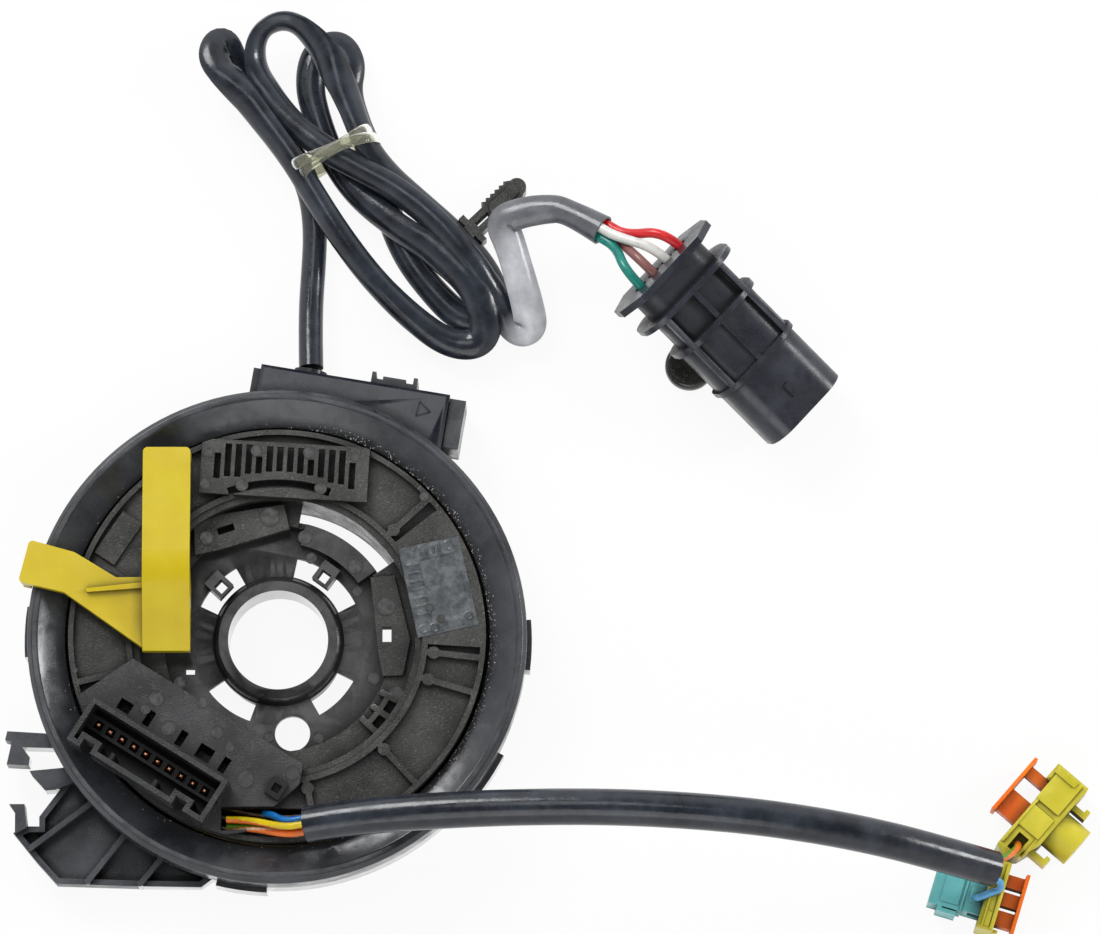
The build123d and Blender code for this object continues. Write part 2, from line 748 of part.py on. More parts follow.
with BuildPart() as sensor_bracket:
    with BuildSketch(box_along.offset(-bracket_base)):
        with Locations(((box_left + box_right) / 2, box_back - box_deep / 2)):
            Rectangle(box_right - box_left + 2 * frame_lap, box_deep)
        Circle(box_cut_r, mode=Mode.SUBTRACT)
        with Locations((clip_at, box_back)):
            Rectangle(clip_wide, 2 * clip_thick + 0.2)
    extrude(amount=bracket_base)
    # left and right side plates
    for place, thick, deep, tall in side_plates:
        side = math.copysign(1, place)
        with BuildSketch(box_along.offset(-bracket_base)):
            with Locations((place + side * (seat_gap + thick / 2), box_back - deep / 2 - 0.6)):
                Rectangle(thick, deep)
        extrude(amount=bracket_base + tall)
    # clip at the back with two ears
    with BuildSketch(box_along.offset(-bracket_base)):
        with Locations((clip_at, box_back + seat_gap + clip_thick / 2)):
            Rectangle(clip_wide, clip_thick)
        with Locations((clip_at, box_back + seat_gap + clip_thick)):
            Rectangle(clip_wide / 2, clip_thick)
        for side in (1, -1):
            with Locations((clip_at + side * (clip_wide - ear_thick) / 2, box_back + seat_gap + clip_thick)):
                Rectangle(ear_thick, 2 * clip_thick)
    extrude(amount=bracket_base + clip_tall)
save(sensor_bracket, "sensor_bracket")

# =====================================================================
# sheathed lead: tube to the hank, the tied hank, and the run to the plug
# =====================================================================
exit_face = lead_boss
lead_start = (
    exit_x + exit_face * math.cos(math.radians(90 + box_turn)),
    exit_y + exit_face * math.sin(math.radians(90 + box_turn)),
    lead_exit_z,
)
hank_tie = (11.2, box_back + 48.0)
hank_lobes = (
    ((-3.4, box_back + 64.2), 11.8),
    ((3.2, box_back + 65.6), 11.0),
    (hank_tie, 8.4),
    ((26.4, box_back + 28.2), 8.4),
    ((39.2, box_back + 13.2), 7.8),
)
hank_high = 12.8
hank_tie_turn = 27.0

sensor_route = [
    lead_start,
    (6.0, box_back + 8.2, 4.4),
    (5.6, box_back + 16.6, 3.6),
    (6.8, box_back + 26.0, 3.6),
    (7.6, box_back + 33.6, 4.2),
    (7.4, box_back + 40.6, 5.4),
    (8.6, box_back + 46.0, 6.4),
]
sensor_lead = tube(sensor_route, lead_d, "sensor_lead")
save(sensor_lead, "sensor_lead")

with BuildPart() as lead_hank:
    with BuildSketch() as upper_lobe:
        for centre, radius in hank_lobes[:3]:
            with Locations(centre):
                Circle(radius)
        make_hull()
    extrude(amount=hank_high)
    with BuildSketch() as lower_lobe:
        for centre, radius in hank_lobes[2:4]:
            with Locations(centre):
                Circle(radius)
        make_hull()
    extrude(amount=hank_high)
    with BuildSketch() as end_lobe:
        for centre, radius in hank_lobes[3:]:
            with Locations(centre):
                Circle(radius)
        make_hull()
    extrude(amount=hank_high)
    chamfer(lead_hank.faces().sort_by(Axis.Z)[-1].edges(), length=2.0)
save(lead_hank, "lead_hank")

# band round the hank's waist
band_wide = 3.4
band_thick_r = 0.8
with BuildPart() as lead_band:
    band_plane = Plane(origin=(*hank_tie, 0), z_dir=(0, 0, 1)).rotated((0, 0, hank_tie_turn))
    with BuildSketch(band_plane):
        Rectangle(2 * hank_lobes[2][1] + 2 * band_thick_r, band_wide)
    extrude(amount=hank_high + band_thick_r)
    add(lead_hank.part, mode=Mode.SUBTRACT)
save(lead_band, "lead_band")

plug_route = [
    (45.4, box_back + 12.2, 3.8),
    (52.4, box_back + 9.8, 3.6),
    (56.2, box_back + 16.6, 4.4),
    (52.2, box_back + 24.4, 6.2),
    (46.6, box_back + 30.4, 8.2),
    (50.4, box_back + 36.8, 10.4),
    (60.0, box_back + 35.2, 13.2),
    (68.2, box_back + 29.6, 16.0),
]
plug_lead = tube(plug_route, lead_d, "plug_lead")
save(plug_lead, "plug_lead")

# =====================================================================
# tree_clip: toothed push clip beside the hank, for a hole in a panel
# =====================================================================
clip_foot = (41.1, box_back + 33.0)
clip_turn = 44.0
clip_long = 12.4
clip_high = 4.4
clip_plate_wide = 7.2
clip_plate_thick = 1.4
clip_neck_long = 5.2
clip_neck_wide = 3.0
clip_slot_wide = 1.0
tongue_wide = 2.6
tongue_rise = 0.6
tooth_count = 6
tooth_pitch = 1.3
tooth_out = 2.9
tooth_root = 2.0

with BuildPart() as tree_clip:
    clip_plane = Plane(origin=(*clip_foot, 0), z_dir=(0, 0, 1)).rotated((0, 0, clip_turn))
    with BuildSketch(clip_plane):
        with Locations((-clip_plate_thick / 2, 0)):
            Rectangle(clip_plate_thick, clip_plate_wide)
        with Locations((-clip_plate_thick - clip_neck_long / 2, 0)):
            Rectangle(clip_neck_long, clip_neck_wide)
        with Locations((clip_long / 2, 0)):
            Rectangle(clip_long, 2 * tooth_root)
        with Locations((clip_long, 0)):
            Circle(tooth_root)
        for number in range(tooth_count):
            first = clip_long - tooth_pitch * (tooth_count - number)
            with BuildLine():
                Polyline(
                    (first, -tooth_out),
                    (first, tooth_out),
                    (first + tooth_pitch, tooth_root),
                    (first + tooth_pitch, -tooth_root),
                    close=True,
                )
            make_face()
    extrude(amount=clip_high)
    # slot that parts the stem into two springy legs, and the flat tongue on top
    teeth_long = tooth_pitch * tooth_count
    with BuildSketch(clip_plane):
        with Locations(((clip_long - teeth_long) / 2, 0)):
            Rectangle(clip_long - teeth_long - 1, clip_slot_wide)
    extrude(amount=clip_high, mode=Mode.SUBTRACT)
    with BuildSketch(clip_plane.offset(clip_high)):
        with Locations((clip_long - teeth_long / 2, 0)):
            SlotOverall(teeth_long, tongue_wide)
    extrude(amount=tongue_rise)
save(tree_clip, "tree_clip")

# =====================================================================
# four-way plug: flanged body with an open shroud, rear cover and pins
# =====================================================================
flange_a = 5.0
flange_b = 13.6
flange_c = 26.0
flange_thick = 1.2
shroud_depth = 19.0
cover_wide = 27.0
cover_high = 14.4
plug_cover_thick = 1.6
core_places = (6.0, 2.0, -2.0, -6.0)
core_hole_r = 1.5
blade_long = 9.0
plug_forward = Vector(
    math.cos(math.radians(plug_turn)) * math.cos(math.radians(plug_tilt)),
    math.sin(math.radians(plug_turn)) * math.cos(math.radians(plug_tilt)),
    -math.sin(math.radians(plug_tilt)),
)
plug_across = Vector(*polar(1, plug_turn + 90))
plug_plane = Plane(origin=plug_rear, x_dir=plug_across, z_dir=plug_forward)

with BuildPart() as plug_body:
    with BuildSketch(plug_plane):
        RectangleRounded(plug_wide - 1.6, plug_high - 2.0, 4.6)
    extrude(amount=flange_b)
    with BuildSketch(plug_plane.offset(flange_b)):
        RectangleRounded(plug_wide, plug_high, 5.4)
    extrude(amount=plug_long - flange_b)
    for place, wide, high in ((flange_a, 26.0, 16.0), (flange_b, 22.8, 16.2)):
        with BuildSketch(plug_plane.offset(place)):
            RectangleRounded(wide, high, 6.4)
        extrude(amount=flange_thick)
    with BuildSketch(plug_plane.offset(flange_c)):
        RectangleRounded(plug_wide + 1.4, plug_high + 1.4, 5.8)
    extrude(amount=flange_thick)
    # lengthwise ribs on the top and underside, and a key near the mouth
    for side in (1, -1):
        with BuildSketch(plug_plane.offset(flange_a)):
            with Locations((0, side * (plug_high / 2 - 0.4)), (side * 8.2, plug_high / 2 - 0.4)):
                Rectangle(1.2, 2.2)
        extrude(amount=flange_c - flange_a)
    with BuildSketch(plug_plane.offset(plug_long - 8)):
        with Locations((0, plug_high / 2)):
            Rectangle(1.2, 1.2)
    extrude(amount=3.4)
    with BuildSketch(plug_plane.offset(plug_long - shroud_depth)):
        RectangleRounded(plug_wide - 2 * plug_wall, plug_high - 2 * plug_wall, 5.4 - plug_wall)
    extrude(amount=shroud_depth + 1, mode=Mode.SUBTRACT)
save(plug_body, "plug_body")

with BuildPart() as plug_retainer:
    with BuildSketch(plug_plane.offset(-plug_cover_thick)):
        with BuildLine():
            Polyline(
                (-cover_wide / 2, -2.4),
                (-cover_wide / 2, 2.4),
                (-cover_wide / 2 + 4.6, cover_high / 2),
                (cover_wide / 2 - 4.6, cover_high / 2),
                (cover_wide / 2, 2.4),
                (cover_wide / 2, -2.4),
                (cover_wide / 2 - 4.6, -cover_high / 2),
                (-cover_wide / 2 + 4.6, -cover_high / 2),
                close=True,
            )
        make_face()
        for place in core_places:
            with Locations((place, 0)):
                Circle(core_hole_r, mode=Mode.SUBTRACT)
    extrude(amount=plug_cover_thick)
save(plug_retainer, "plug_retainer")

with BuildPart() as plug_pins:
    with BuildSketch(plug_plane.offset(plug_long - shroud_depth)):
        for place in core_places:
            with Locations((place, 0)):
                Rectangle(1.5, 0.8)
    extrude(amount=blade_long)
save(plug_pins, "plug_pins")

# plug_tree_clip: round foot on a toothed stem, under the plug's side
foot_r = 5.2
foot_thick = 2.4
foot_place = plug_plane.origin + plug_forward * 16.0 - plug_across * 8.4
stem_r = 1.5
stem_end = foot_place + plug_across * 3.0
stem_top = stem_end.Z - (plug_high / 2 + 0.9) / math.cos(math.radians(plug_tilt))

with BuildPart() as plug_tree_clip:
    with BuildSketch():
        with Locations((foot_place.X, foot_place.Y)):
            Circle(foot_r)
    extrude(amount=foot_thick)
    fillet(plug_tree_clip.edges().group_by(Axis.Z)[-1], radius=1.2)
    with BuildSketch(Plane.XY.offset(foot_thick - 0.2)):
        with Locations((stem_end.X, stem_end.Y)):
            Circle(stem_r)
    extrude(amount=stem_top - foot_thick + 0.2)
    for level in (0.6, 1.9, 3.2):
        with BuildSketch(Plane.XY.offset(foot_thick + level)):
            with Locations((stem_end.X, stem_end.Y)):
                Circle(stem_r + 0.9)
        extrude(amount=0.5)
save(plug_tree_clip, "plug_tree_clip")

# the four cores between the sheath and the rear cover
sheath_end = Vector(*plug_route[-1])
sheath_way = (sheath_end - Vector(*plug_route[-2])).normalized()
sheath_side = Vector(0, 0, 1).cross(sheath_way).normalized()
sheath_up = sheath_way.cross(sheath_side)
core_step = 1.6
core_starts = ((1, 0), (0, 1), (0, -1), (-1, 0))
core_names = ("wire_red", "wire_white", "wire_brown", "wire_green")
core_out = (5.0, 4.0, 4.4, 4.8)
core_in = (6.0, 5.0, 5.6, 6.4)

for name, place, (side, up), out_run, in_run in zip(core_names, core_places, core_starts, core_out, core_in):
    start = sheath_end + sheath_side * (side * core_step) + sheath_up * (up * core_step)
    end = plug_plane.origin + plug_across * place
    core_route = [start, start + sheath_way * out_run, end - plug_forward * in_run, end]
    save(tube([tuple(point) for point in core_route], core_d, name), name)

# =====================================================================
# airbag_lead: thick sleeve from the disc to the two airbag plugs
# =====================================================================
airbag_route = [
    (6.6, wire_slot[1] - 1.9, 24.0),
    (15.0, wire_slot[1] - 0.7, 25.9),
    (30.0, -38.8, 29.6),
    (51.0, -38.2, 32.4),
    (72.0, -38.4, 34.0),
    (93.0, -39.7, 34.0),
    (110.0, -41.6, 32.0),
    (125.0, -44.0, 28.4),
    (139.0, -46.9, 22.8),
    (151.4, -49.6, 16.6),
]
airbag_lead = tube(airbag_route, sleeve_d, "airbag_lead")
save(airbag_lead, "airbag_lead")

# cores from the slot in the disc up to the sleeve
sleeve_start = Vector(*airbag_route[0])
sleeve_way = (Vector(*airbag_route[1]) - sleeve_start).normalized()
sleeve_side = Vector(0, 0, 1).cross(sleeve_way).normalized()
sleeve_up = sleeve_way.cross(sleeve_side)
thin_step = 1.4
bundle_foot = Vector(-10.2, wire_slot[1] - 0.1, face_top - 1.1)
slot_cores = (
    ("wire_blue", 1, 0, 7.8),
    ("wire_yellow", 0, 1, 0.0),
    ("wire_orange", -1, 0, 0.0),
    ("wire_striped", 0, -1, 2.2),
)
for name, side, up, along in slot_cores:
    start = bundle_foot + Vector(along, side * thin_step, up * thin_step)
    bend = bundle_foot + Vector(4.6 + 0.55 * along, side * thin_step, up * thin_step + 0.3 + 0.1 * along)
    end = sleeve_start + sleeve_side * (side * thin_step) + sleeve_up * (up * thin_step)
    core_route = [start, bend, end - sleeve_way * 4.4, end]
    save(tube([tuple(point) for point in core_route], thin_core_d, name), name)

# =====================================================================
# upper airbag plug: flat body with a round nose, and its orange lock
# =====================================================================
upper_centre = (159.8, -37.6)
upper_turn = 49.0
squib_high = 11.0
squib_thick = 7.0
squib_long = 22.6
nose_r = 4.4
nose_long = 6.2
leg_bottom = 3.5
leg_high = 4.0
lock_out = 9.3
lock_in = 1.2
lock_bar = 0.8
upper_legs = ((-4.2, 1.4), (5.2, 7.6))
upper_bar = (-3.9 - 1.0, 9.3)
core_hole_deep = 2.0
core_hole_p = -7.2
core_hole_q = 0.2
upper_plane = Plane(origin=(*upper_centre, 0), x_dir=(*polar(1, upper_turn), 0), z_dir=(0, 0, 1))
upper_nose_way = Vector(*polar(1, upper_turn - 90))

with BuildPart() as squib_plug_upper:
    with BuildSketch(upper_plane):
        with BuildLine():
            Polyline(
                (-squib_long / 2, 0.6),
                (-squib_long / 2 + 1.4, squib_thick / 2),
                (squib_long / 2 - 4.0, squib_thick / 2),
                (squib_long / 2 - 4.0, squib_thick / 2 + 1.2),
                (squib_long / 2, squib_thick / 2 + 1.2),
                (squib_long / 2, -squib_thick / 2),
                (-squib_long / 2 + 7.0, -squib_thick / 2),
                (-squib_long / 2 + 2.0, -squib_thick / 2 + 1.6),
                close=True,
            )
        make_face()
    extrude(amount=squib_high)
    chamfer(squib_plug_upper.faces().sort_by(Axis.Z)[-1].edges(), length=0.6)
    # round nose with a key rib and two side latches
    nose_plane = Plane(
        origin=Vector(*upper_centre, squib_high / 2) + Vector(*polar(0.8, upper_turn)),
        x_dir=(*polar(1, upper_turn), 0),
        z_dir=upper_nose_way,
    )
    with BuildSketch(nose_plane):
        Circle(nose_r)
    extrude(amount=squib_thick / 2 + nose_long)
    with BuildSketch(nose_plane.offset(squib_thick / 2 + nose_long - 3.4)):
        with Locations((-1.1, 0), (1.1, 0)):
            Circle(0.7)
    extrude(amount=4, mode=Mode.SUBTRACT)
    for place in (-6.4, 6.6):
        with BuildSketch(upper_plane.offset(squib_high / 2 - 2.4)):
            with Locations((place, -squib_thick / 2 - 0.9)):
                Rectangle(1.3, 5.2)
            with Locations((place + 0.5, -squib_thick / 2 - 3.0)):
                Rectangle(2.0, 1.0)
        extrude(amount=4.8)
    # slots for the lock's legs, and the hole that takes the cores
    for first, last in upper_legs:
        with BuildSketch(upper_plane.offset(leg_bottom - slide_gap)):
            with Locations(((first + last) / 2, squib_thick / 2 - 2.2)):
                Rectangle(last - first + 2 * slide_gap, 8.6)
        extrude(amount=leg_high + 2 * slide_gap, mode=Mode.SUBTRACT)
    with BuildSketch(upper_plane.offset(squib_high - core_hole_deep)):
        with Locations((core_hole_p, core_hole_q)):
            Rectangle(4.0, 2.6)
    extrude(amount=core_hole_deep + 1, mode=Mode.SUBTRACT)
save(squib_plug_upper, "squib_plug_upper")

with BuildPart() as squib_lock_upper:
    with BuildSketch(upper_plane.offset(leg_bottom)):
        with Locations((sum(upper_bar) / 2, lock_out - lock_bar / 2)):
            Rectangle(upper_bar[1] - upper_bar[0], lock_bar)
        for first, last in upper_legs:
            with Locations(((first + last) / 2, (lock_out + squib_thick / 2 - lock_in) / 2)):
                Rectangle(last - first, lock_out - squib_thick / 2 + lock_in)
    extrude(amount=leg_high)
    with BuildSketch(upper_plane.offset(leg_bottom - 1.6)):
        with Locations((sum(upper_bar) / 2, lock_out - lock_bar / 2)):
            Rectangle(upper_bar[1] - upper_bar[0], lock_bar)
    extrude(amount=leg_high + 3.2)
save(squib_lock_upper, "squib_lock_upper")

# =====================================================================
# lower airbag plug: thin slab seen on edge, orange lock, teal horn plug
# =====================================================================
lower_centre = (149.8, -53.9)
lower_turn = 73.0
slab_long = 15.0
slab_thick = 3.5
slab_high = 12.2
lower_legs = ((-5.6, -2.2), (-1.2, 1.8), (2.8, 5.6))
lower_out = 6.2
lower_bar = 13.0
horn_long = 11.0
horn_wide = 9.0
horn_bottom = 0.0
horn_top = 9.4
horn_step = 3.9
socket_deep = 7.2
socket_wide = 6.4
socket_high = 6.2
horn_hole_p = -1.2
horn_hole_q = slab_thick / 2 + 1.9
lower_plane = Plane(origin=(*lower_centre, 0), x_dir=(*polar(1, lower_turn), 0), z_dir=(0, 0, 1))

with BuildPart() as squib_plug_lower:
    with BuildSketch(lower_plane):
        Rectangle(slab_long, slab_thick)
    extrude(amount=slab_high)
    chamfer(squib_plug_lower.faces().sort_by(Axis.Z)[-1].edges(), length=0.5)
    with BuildSketch(lower_plane):
        with Locations((-slab_long / 2 + 0.35, -slab_thick / 2 - 0.5)):
            Rectangle(0.7, 1.2)
    extrude(amount=slab_high - 2)
    for first, last in lower_legs:
        with BuildSketch(lower_plane.offset(leg_bottom - slide_gap)):
            with Locations(((first + last) / 2, 0)):
                Rectangle(last - first + 2 * slide_gap, slab_thick + 3)
        extrude(amount=leg_high + 2 * slide_gap, mode=Mode.SUBTRACT)
save(squib_plug_lower, "squib_plug_lower")

with BuildPart() as squib_lock_lower:
    with BuildSketch(lower_plane.offset(leg_bottom)):
        with Locations((0, -lower_out + lock_bar / 2)):
            Rectangle(lower_bar, lock_bar)
        for first, last in lower_legs:
            with Locations(((first + last) / 2, (-lower_out - slab_thick / 2 + lock_in) / 2)):
                Rectangle(last - first, lower_out - slab_thick / 2 + lock_in)
    extrude(amount=leg_high)
    with BuildSketch(lower_plane.offset(leg_bottom - 1.6)):
        with Locations((0, -lower_out + lock_bar / 2)):
            Rectangle(lower_bar, lock_bar)
    extrude(amount=leg_high + 3.2)
save(squib_lock_lower, "squib_lock_lower")

with BuildPart() as horn_plug:
    with BuildSketch(lower_plane.offset(horn_bottom)):
        with Locations((-0.6, slab_thick / 2 + horn_step / 2)):
            Rectangle(horn_wide - 0.8, horn_step)
        with Locations((-0.6, slab_thick / 2 + (horn_long + horn_step) / 2)):
            Rectangle(horn_wide, horn_long - horn_step)
        with Locations((-0.6 - horn_wide / 2 - 0.7, slab_thick / 2 + horn_step + 3.0)):
            Rectangle(0.8, 4.2)
        with Locations((-0.6 - horn_wide / 2 - 0.4, slab_thick / 2 + horn_step + 4.6)):
            Rectangle(1.4, 1.0)
    extrude(amount=horn_top - horn_bottom)
    with BuildSketch(lower_plane.offset((horn_top + horn_bottom) / 2)):
        with Locations((-0.6, slab_thick / 2 + horn_long - socket_deep / 2 + 0.5)):
            Rectangle(socket_wide, socket_deep + 1)
    extrude(amount=socket_high / 2, both=True, mode=Mode.SUBTRACT)
    for first, last in lower_legs:
        with BuildSketch(lower_plane.offset(leg_bottom - slide_gap)):
            with Locations(((first + last) / 2, slab_thick / 2 + 1.2)):
                Rectangle(last - first + 2 * slide_gap, 2.6)
        extrude(amount=leg_high + 2 * slide_gap, mode=Mode.SUBTRACT)
    with BuildSketch(lower_plane.offset(horn_top - core_hole_deep)):
        with Locations((horn_hole_p, horn_hole_q)):
            Circle(1.3)
    extrude(amount=core_hole_deep + 1, mode=Mode.SUBTRACT)
save(horn_plug, "horn_plug")

# cores from the sleeve's far end down into the plugs
far_end = Vector(*airbag_route[-1])
far_way = (far_end - Vector(*airbag_route[-2])).normalized()
far_side = Vector(0, 0, 1).cross(far_way).normalized()
far_up = far_way.cross(far_side)
upper_entry = (
    Vector(*upper_centre, squib_high - core_hole_deep)
    + Vector(*polar(core_hole_p, upper_turn))
    + Vector(*polar(core_hole_q, upper_turn + 90))
)
signal_start = far_end + far_side * 1.7 + far_up * 0.9
signal_route = [
    signal_start,
    signal_start + far_way * 2.6 + far_side * 0.4,
    signal_start + far_way * 4.0 + far_side * 3.0,
    upper_entry + Vector(0.5, -0.6, 3.2),
    upper_entry,
]
wire_signal = tube([tuple(point) for point in signal_route], thin_core_d, "wire_signal")
save(wire_signal, "wire_signal")

horn_entry = (
    Vector(*lower_centre, horn_top - core_hole_deep)
    + Vector(*polar(horn_hole_p, lower_turn))
    + Vector(*polar(horn_hole_q, lower_turn + 90))
)
ground_start = far_end - far_side * 1.7 - far_up * 1.0
ground_route = [
    ground_start,
    (ground_start.X + 1.9, ground_start.Y - 1.2, ground_start.Z - 0.7),
    (ground_start.X + 1.7, ground_start.Y - 3.6, ground_start.Z - 1.2),
    (ground_start.X - 0.6, ground_start.Y - 5.2, ground_start.Z - 1.2),
    (horn_entry.X + 1.2, horn_entry.Y - 2.0, slab_high + 1.2),
    (horn_entry.X + 0.1, horn_entry.Y - 0.6, slab_high - 0.4),
    tuple(horn_entry),
]
wire_ground = tube(ground_route, thin_core_d, "wire_ground")
save(wire_ground, "wire_ground")
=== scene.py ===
import json
import math

import bmesh
import bpy
import numpy as np
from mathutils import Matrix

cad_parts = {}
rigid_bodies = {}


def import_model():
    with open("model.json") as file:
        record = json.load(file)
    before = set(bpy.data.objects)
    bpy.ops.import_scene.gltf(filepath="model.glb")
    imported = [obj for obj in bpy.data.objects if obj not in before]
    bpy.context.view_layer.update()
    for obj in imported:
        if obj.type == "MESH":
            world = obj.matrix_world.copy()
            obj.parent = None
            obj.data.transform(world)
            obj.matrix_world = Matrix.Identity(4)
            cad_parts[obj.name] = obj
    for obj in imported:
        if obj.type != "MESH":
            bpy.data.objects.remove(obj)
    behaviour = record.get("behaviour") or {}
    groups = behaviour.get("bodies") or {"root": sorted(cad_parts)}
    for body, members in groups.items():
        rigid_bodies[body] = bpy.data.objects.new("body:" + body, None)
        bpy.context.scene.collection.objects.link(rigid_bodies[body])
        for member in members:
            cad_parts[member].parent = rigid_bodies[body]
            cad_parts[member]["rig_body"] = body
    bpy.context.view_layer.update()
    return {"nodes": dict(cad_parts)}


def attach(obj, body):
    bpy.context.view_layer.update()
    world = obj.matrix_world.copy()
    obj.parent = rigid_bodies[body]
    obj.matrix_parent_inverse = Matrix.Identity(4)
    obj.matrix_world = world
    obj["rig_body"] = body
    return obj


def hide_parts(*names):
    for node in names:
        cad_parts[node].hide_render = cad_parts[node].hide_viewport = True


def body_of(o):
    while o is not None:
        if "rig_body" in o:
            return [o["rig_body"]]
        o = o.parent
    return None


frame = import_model()
nodes = frame["nodes"]

# ---------------------------------------------------------------------
# Base cup. Glass-filled black plastic, moulded in one with its hooks,
# tabs and the ribbed bracket; it stands on its rim and holds the cable.
# ---------------------------------------------------------------------
MM = 0.001


def link(tree, source, target):
    """Joins one shader socket to another."""
    tree.links.new(source, target)


def shader(name, colour, roughness, coat=0.0):
    """New material with its shader, and the object coordinates that its patterns read."""
    material = bpy.data.materials.new(name)
    material.use_nodes = True
    tree = material.node_tree
    surface = tree.nodes["Principled BSDF"]
    surface.inputs["Base Color"].default_value = (*colour, 1)
    surface.inputs["Roughness"].default_value = roughness
    surface.inputs["Coat Weight"].default_value = coat
    surface.inputs["Coat Roughness"].default_value = 0.2
    place = tree.nodes.new("ShaderNodeTexCoord").outputs["Object"]
    return material, tree, surface, place


def noise(tree, place, per_metre, detail=2.0, roughness=0.5):
    """Noise field with so many cells to the metre."""
    field = tree.nodes.new("ShaderNodeTexNoise")
    field.inputs["Scale"].default_value = per_metre
    field.inputs["Detail"].default_value = detail
    field.inputs["Roughness"].default_value = roughness
    link(tree, place, field.inputs["Vector"])
    return field.outputs["Fac"]


def spread(tree, value, low_in, high_in, low_out, high_out):
    """Value carried from one range to another in a straight line, held at the ends."""
    step = tree.nodes.new("ShaderNodeMapRange")
    for socket, number in zip(step.inputs[1:5], (low_in, high_in, low_out, high_out)):
        socket.default_value = number
    link(tree, value, step.inputs[0])
    return step.outputs[0]


def mixed(tree, share, first, second, kind="RGBA"):
    """Mix of two colours or numbers, each a socket or a plain value, by a share from 0 to 1."""
    mix = tree.nodes.new("ShaderNodeMix")
    mix.data_type = kind
    for slot, part in (("A", first), ("B", second)):
        if isinstance(part, bpy.types.NodeSocket):
            link(tree, part, mix.inputs[slot])
        else:
            mix.inputs[slot].default_value = part
    link(tree, share, mix.inputs["Factor"])
    return mix.outputs["Result"]


def two_tone(tree, share, dark, light):
    """Colour between a dark and a light one by a share from 0 to 1."""
    return mixed(tree, share, (*dark, 1), (*light, 1))


def grain(tree, surface, height, depth, strength):
    """Bump of a height field that stands so many metres proud."""
    bump = tree.nodes.new("ShaderNodeBump")
    bump.inputs["Distance"].default_value = depth
    bump.inputs["Strength"].default_value = strength
    link(tree, height, bump.inputs["Height"])
    link(tree, bump.outputs["Normal"], surface.inputs["Normal"])


def uneven_gloss(tree, surface, field, near, far, smooth, dull):
    """Roughness that goes from smooth to dull as a noise field goes from near to far."""
    link(tree, spread(tree, field, near, far, smooth, dull), surface.inputs["Roughness"])


def moulding(
    name, dark, light, smooth, dull, cells=5200.0, depth=0.00003, strength=0.35, reach=0.003, glint_and_dust=0.0
):
    """Moulded plastic: cloudy colour between dark and light, and gloss that varies from smooth to dull
    where it was touched, over a grain of so many cells to the metre that stands depth metres proud.
    Crevices narrower than the reach get painted shade and are duller, and a share of pale specks paints
    glints and stands for dust."""
    crevice_shade, crevice_dull = 0.12, 0.85
    glint_dust_white = (0.2, 0.2, 0.185, 1)
    material, tree, surface, place = shader(name, dark, dull)
    cloud = spread(tree, noise(tree, place, 90.0, 4.0, 0.6), 0.35, 0.68, 0, 1)
    clean = two_tone(tree, cloud, dark, light)
    # pale specks lightened into the colour: painted glints on the eroded grain, and dust
    if glint_and_dust:
        glint_dust_share = spread(tree, noise(tree, place, 1700.0, 4.0, 0.7), 0.56, 0.72, 0, glint_and_dust)
        clean = mixed(tree, glint_dust_share, clean, glint_dust_white)
    # painted shade: where occlusion finds near walls, the colour is darkened towards a fraction of the dark
    # one
    crevice = tree.nodes.new("ShaderNodeAmbientOcclusion")
    crevice.samples = 3
    crevice.inputs["Distance"].default_value = reach
    open_share = spread(tree, crevice.outputs["AO"], 0.42, 0.94, 0, 1)
    shade = (*(crevice_shade * c for c in dark), 1)
    link(tree, mixed(tree, open_share, shade, clean), surface.inputs["Base Color"])
    touch = spread(tree, noise(tree, place, 230.0, 3.0, 0.65), 0.38, 0.66, smooth, dull)
    link(tree, mixed(tree, open_share, crevice_dull, touch, "FLOAT"), surface.inputs["Roughness"])
    grain(tree, surface, noise(tree, place, cells), depth, strength)
    return material


def sharp_by_angle(mesh, degrees):
    """Smooth faces, with an edge kept sharp where it turns by more than the angle."""
    mesh.polygons.foreach_set("use_smooth", np.ones(len(mesh.polygons), bool))
    mesh.set_sharp_from_angle(angle=math.radians(degrees))


def upright_between(near_r, far_r):
    """Choice of the upright faces whose middle lies between two radii from the turning axis."""
    def chosen(centre, normal):
        centre_r = np.hypot(centre[:, 0], centre[:, 1]) / MM
        return (centre_r > near_r) & (centre_r < far_r) & (np.abs(normal[:, 2]) < 0.3)
    return chosen


def moulded(node, material, round_mm=0.18, finish=None, choice=None):
    """Stands for a CAD node: its own faces merged, with every edge rounded as a tool leaves it. A
    choice of its faces may have a finish of their own."""
    mesh = nodes[node].data.copy()
    mesh.name = node + "_moulding"
    work = bmesh.new()
    work.from_mesh(mesh)
    bmesh.ops.remove_doubles(work, verts=work.verts, dist=1e-6)
    bmesh.ops.dissolve_limit(work, angle_limit=math.radians(0.6), verts=work.verts, edges=work.edges)
    work.to_mesh(mesh)
    work.free()
    mesh.materials.clear()
    mesh.materials.append(material)
    if finish:
        mesh.materials.append(finish)
        centre, normal = np.empty((2, len(mesh.polygons) * 3))
        mesh.polygons.foreach_get("center", centre)
        mesh.polygons.foreach_get("normal", normal)
        own = choice(centre.reshape(-1, 3), normal.reshape(-1, 3))
        mesh.polygons.foreach_set("material_index", own.astype(np.int32))
    piece = bpy.data.objects.new(node + "_moulding", mesh)
    bpy.context.scene.collection.objects.link(piece)
    sharp_by_angle(mesh, 30)
    edge = piece.modifiers.new("tool radius", "BEVEL")
    edge.width = round_mm * MM
    edge.segments = 2
    edge.limit_method = "ANGLE"
    edge.angle_limit = math.radians(32)
    edge.harden_normals = True
    edge.use_clamp_overlap = True
    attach(piece, body_of(nodes[node])[0])
    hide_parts(node)
    return piece


